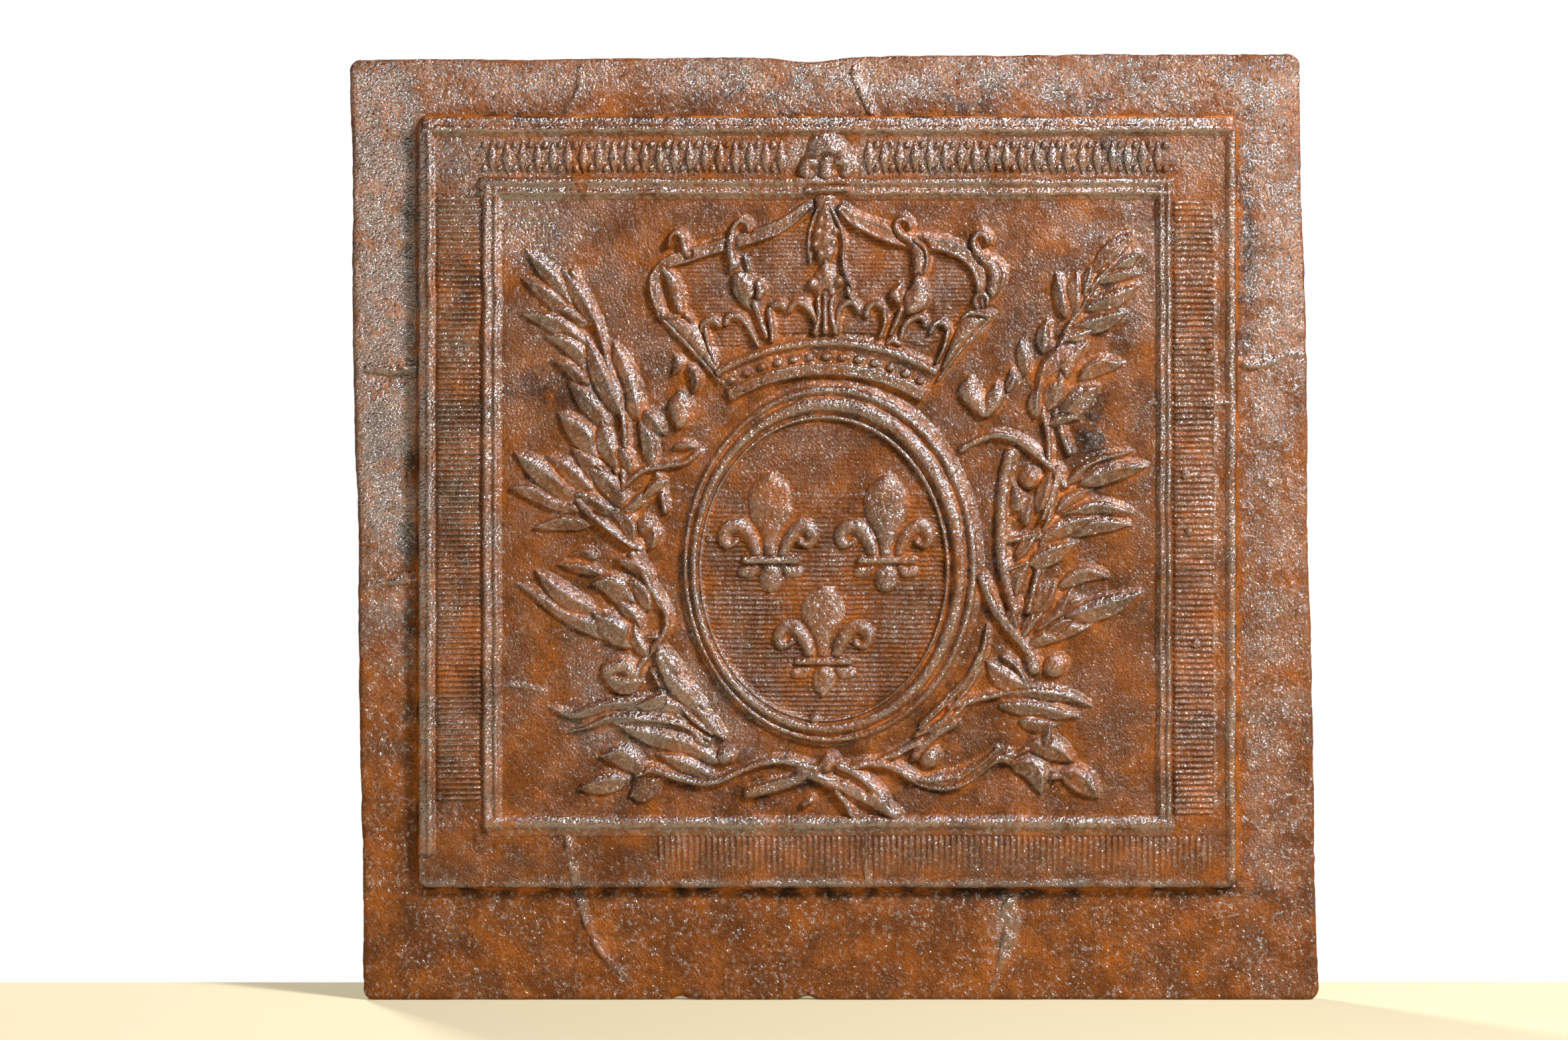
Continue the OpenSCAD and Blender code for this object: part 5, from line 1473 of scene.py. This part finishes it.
def studTree():
    # domes, or lozenges, on the points that are given
    tree, given = newTree("studs", {"Spots": "Object", "Radius": "Float", "Rise": "Float",
        "Tall": "Float", "Lozenges": "Float", "Seed": "Int", "Finish": "Material"})
    spots = addNode(tree, "GeometryNodeObjectInfo", None, {"Object": given["Spots"]})
    scatter = addNode(tree, "FunctionNodeRandomValue", {"data_type": "FLOAT"},
        {2: small["scatter"][0], 3: small["scatter"][1], "Seed": given["Seed"]}).outputs[1]
    size = addNode(tree, "ShaderNodeCombineXYZ", None, {
        "X": maths(tree, "MULTIPLY", given["Radius"], scatter),
        "Y": maths(tree, "MULTIPLY", given["Tall"], scatter), "Z": given["Rise"]})
    joined = addNode(tree, "GeometryNodeJoinGeometry")
    for wanted, sides in enumerate((12, 4)):
        ball = addNode(tree, "GeometryNodeMeshUVSphere", None, {"Segments": sides, "Rings": 6,
            "Radius": 1.0})
        chosen = addNode(tree, "FunctionNodeCompare", {"operation": "EQUAL"},
            {"A": given["Lozenges"], "B": float(wanted), "Epsilon": 0.1})
        placed = addNode(tree, "GeometryNodeInstanceOnPoints", None, {
            "Points": spots.outputs["Geometry"], "Selection": chosen.outputs[0],
            "Instance": ball.outputs["Mesh"], "Rotation": (np.pi / 2, 0, 0),
            "Scale": size.outputs[0]})
        tree.links.new(placed.outputs[0], joined.inputs[0])
    return endTree(tree, joined.outputs[0], given["Finish"])


studs = studTree()


def makeStuds(name, node, spots, size, lozenges=0, height=0):
    # size is half the width, half the height and the rise, height is what they stand on
    mesh = bpy.data.meshes.new("spots")
    mesh.from_pydata([(x * mm, (panelY - height) * mm, z * mm) for x, z in spots], [], [])
    holder = bpy.data.objects.new("spots", mesh)
    scene.collection.objects.link(holder)
    points, faces = runTree(studs, {"Spots": holder, "Radius": size[0] * mm, "Tall": size[1] * mm,
        "Rise": size[2] * mm, "Lozenges": float(lozenges), "Seed": 5,
        "Finish": materials["relief"]})
    bpy.data.objects.remove(holder)
    x, z = points[:, 0], points[:, 2]
    front = points[:, 1] < panelY - height
    markHeights(x[front], z[front], (panelY - points[:, 1])[front])
    points[:, 1] -= castWave(x, z)
    keepPiece(name, points, faces, [node], "relief")


def smallThings():
    nails, row, jewels = small["nails"], small["studs"], small["jewels"]
    makeStuds("nailHeads", "nail_heads", nails["at"],
        (nails["radius"], nails["radius"], nails["rise"]), height=small["nailHeight"])
    atX, atZ = row["middle"]
    spots = [(atX + side * (row["from"] + n * row["pitch"]), atZ)
        for n in range(row["count"]) for side in (-1, 1)]
    makeStuds("topBandStuds", "top_band_studs", spots, row["lozenge"], lozenges=1)
    between = [(x + np.sign(x - atX) * row["pitch"] / 2, z + up * row["pelletsApart"] / 2)
        for x, z in spots for up in (-1, 1)]
    makeStuds("topBandPellets", "top_band_studs", between, row["pellet"])
    low, high = crown["ends"]
    turns = np.radians(np.linspace(low + jewels["clear"], high - jewels["clear"],
        crown["jewels"]))
    (atX, atZ), radius = crown["circletAt"], sum(crown["rims"]) / 2
    makeStuds("crownJewels", "crown_jewels",
        [(atX + radius * np.cos(t), atZ + radius * np.sin(t)) for t in turns],
        (crown["jewelRadius"], crown["jewelRadius"] * jewels["flat"], crown["jewelRise"]),
        height=jewels["height"])


smallThings()
print("studs, jewels and nail heads are made")

# ---- Wear, and fastening every piece to the frame ----

wearing = {
    # soft spots as x, z, half width, half height and strength
    "grey": [(0, 938, 520, 30, 0.52), (-190, 922, 110, 14, -0.4), (110, 916, 90, 12, -0.25),
        (-425, 620, 4, 280, 0.4), (-460, 700, 34, 300, 1.0), (455, 780, 40, 200, 0.42),
        (240, 660, 110, 170, 0.05), (300, 760, 50, 60, 0.1), (-20, 862, 380, 20, 0.4),
        (-180, 300, 90, 60, 0.4), (446, 330, 34, 260, 0.25), (-383, 480, 22, 300, 0.3),
        (-150, 182, 160, 9, 0.2), (175, 72, 16, 34, 0.4), (300, 820, 80, 60, 0.2),
        (-340, 800, 60, 60, 0.4), (0, 121, 400, 4, 0.4), (0, 50, 480, 60, -0.08),
        (-462, 260, 34, 220, -0.12), (-250, 700, 110, 140, 0.08)],
    # painted shadows of the panel's raised edge: the band at x -437 left of it and the line at z 111
    # under its foot
    "black": [(-437, 620, 9, 320, 1.0), (-260, 760, 60, 30, 0.25), (-215, 790, 60, 14, 0.25),
        (420, 770, 12, 120, 0.8), (-60, 900, 200, 8, 0.5), (-90, 930, 60, 14, 0.6),
        (130, 925, 50, 18, 0.7), (270, 930, 60, 18, 0.6), (-300, 622, 40, 26, 0.6),
        (-380, 740, 20, 90, 0.5), (250, 700, 90, 120, 0.3), (-150, 630, 26, 30, 0.6),
        (262, 580, 28, 24, 0.6), (-335, 900, 30, 8, 0.8), (290, 870, 50, 16, 0.5),
        (-470, 560, 18, 60, 0.5), (0, 810, 160, 12, 0.3), (0, 111, 400, 7, 0.8),
        (120, 260, 60, 40, 0.25), (-60, 215, 200, 18, 0.2)],
    # how grey and how black the plate is at its foot and from a height up
    "greyLow": 0.21, "greyHigh": 0.31, "blackLow": 0.46, "blackHigh": 0.26, "high": 850,
    # what crests, the upper-right edges as a painted highlight, the ornament and the strips add to
    # the grey, and creases to the black as painted shade
    "crest": 0.3, "edge": 0.8, "proud": 0.1, "strips": -0.1, "creaseShade": 0.6,
    # how far in front of the back the front's marks start, and over how much depth, mm
    "plainBack": 4, "plainOver": 4,
}
forms = {
    # the panel's step in the map: left, right, foot, head and height, and the blurs' reach, mm
    "panel": (-424, 410, 115, 901), "step": 10.0, "near": 1.6, "wide": 5, "wider": 11,
    "lit": 1.2,
    # the step towards the upper-right light (cells), which sets each form's lit and shaded side, and
    # each map's shares
    "slope": (-2, -2), "hollow": (0.32, 0.1), "creaseShade": (0.3, 0.14, 0.16), "edge": 0.17,
}


def spotted(x, z, spots, base, share):
    # a base value with soft spots added, as far as share lets them
    field = base + 0 * x
    for sx, sz, halfW, halfH, strength in spots:
        near = np.exp(-((x - sx) / halfW) ** 2 - ((z - sz) / halfH) ** 2)
        field = field + share * strength * near
    return np.clip(field, 0, 1)


def formMaps():
    # three maps: hollows for the powdery rust, painted shade in close creases, beside each form and
    # on its lower left, and a painted highlight on its upper-right edges, which face the light
    step = np.where(inBox(mapX, mapZ, forms["panel"]), forms["step"], 0.0)
    heights = step + np.maximum(ornamentHeights, np.maximum(stripHeights,
        np.roll(stripHeights, 1, 1)))
    near, wide = [soften(heights, forms[reach]) - heights for reach in ("near", "wide")]
    wider = soften(heights - step, forms["wider"]) - heights + step
    fall = heights - np.roll(heights, forms["slope"], (0, 1))
    (wideShare, nearShare), (closeShare, fallShare, widerShare) = forms["hollow"], forms["creaseShade"]
    hollow = wideShare * wide + nearShare * near
    # painted shade: darker in close creases, on each form's lower left and in the ground beside it
    creaseShade = (closeShare * near + fallShare * np.clip(-fall, 0, 5)
        + widerShare * np.clip(wider, 0, 3))
    # painted highlight: the upper-right edges, which face the light, turn greyer and glossier
    edge = soften(forms["edge"] * np.clip(fall, 0, 6), forms["lit"])
    return [np.clip(field, -1, 1) for field in (hollow, creaseShade, edge)]


def sampleMap(field, x, z):
    # the map's value at each place, between its cells
    u = np.clip((x - sheet["left"]) / sheet["cell"], 0, len(columnsX) - 1.01)
    v = np.clip((z - sheet["low"]) / sheet["cell"], 0, len(rowsZ) - 1.01)
    i, j = u.astype(int), v.astype(int)
    fu, fv = u - i, v - j
    lower = field[j, i] * (1 - fu) + field[j, i + 1] * fu
    upper = field[j + 1, i] * (1 - fu) + field[j + 1, i + 1] * fu
    return lower * (1 - fv) + upper * fv


def dress(piece, maps):
    # the piece as an object that carries its wear, painted shade and painted highlight as a colour at
    # each point
    mesh = meshFrom(piece["name"], piece["points"], piece["faces"], materials[piece["part"]])
    x, y, z = piece["points"].T
    front = np.clip((backY - wearing["plainBack"] - y) / wearing["plainOver"], 0, 1)
    hollow, creaseShade, edge = [sampleMap(field, x, z) * front for field in maps]
    share = np.clip(z / wearing["high"], 0, 1)
    rubbedAndLit, sootyAndShaded = [wearing[kind + "Low"] * (1 - share) + wearing[kind + "High"] * share
        for kind in ("grey", "black")]
    grey = spotted(x, z, wearing["grey"], rubbedAndLit, front)
    grey += wearing["crest"] * np.clip(-hollow - creaseShade, 0, 1)
    # painted highlight on the lit upper-right edges
    grey += wearing["edge"] * np.clip(edge, 0, 1)
    if piece["part"] == "relief":
        grey += wearing["strips" if piece["name"] in strips else "proud"]
    black = spotted(x, z, wearing["black"], sootyAndShaded, front)
    # painted shade in the creases
    black += wearing["creaseShade"] * np.clip(creaseShade, 0, 1)
    colours = [np.clip(field, 0, 1) for field in (hollow, grey, black)] + [np.ones_like(x)]
    layer = mesh.attributes.new("wearAndPaintedLight", "FLOAT_COLOR", "POINT")
    layer.data.foreach_set("color", np.stack(colours, 1).ravel())
    made = bpy.data.objects.new(piece["name"], mesh)
    scene.collection.objects.link(made)
    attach(made, "root")
    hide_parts(*piece["nodes"])
    return sum(len(face.vertices) - 2 for face in mesh.polygons)


maps = formMaps()
count = {piece["name"]: dress(piece, maps) for piece in pieces}
print("triangles", sum(count.values()), "largest", max(count, key=count.get), max(count.values()))

scene.view_settings.view_transform = "Standard"
bpy.context.view_layer.update()
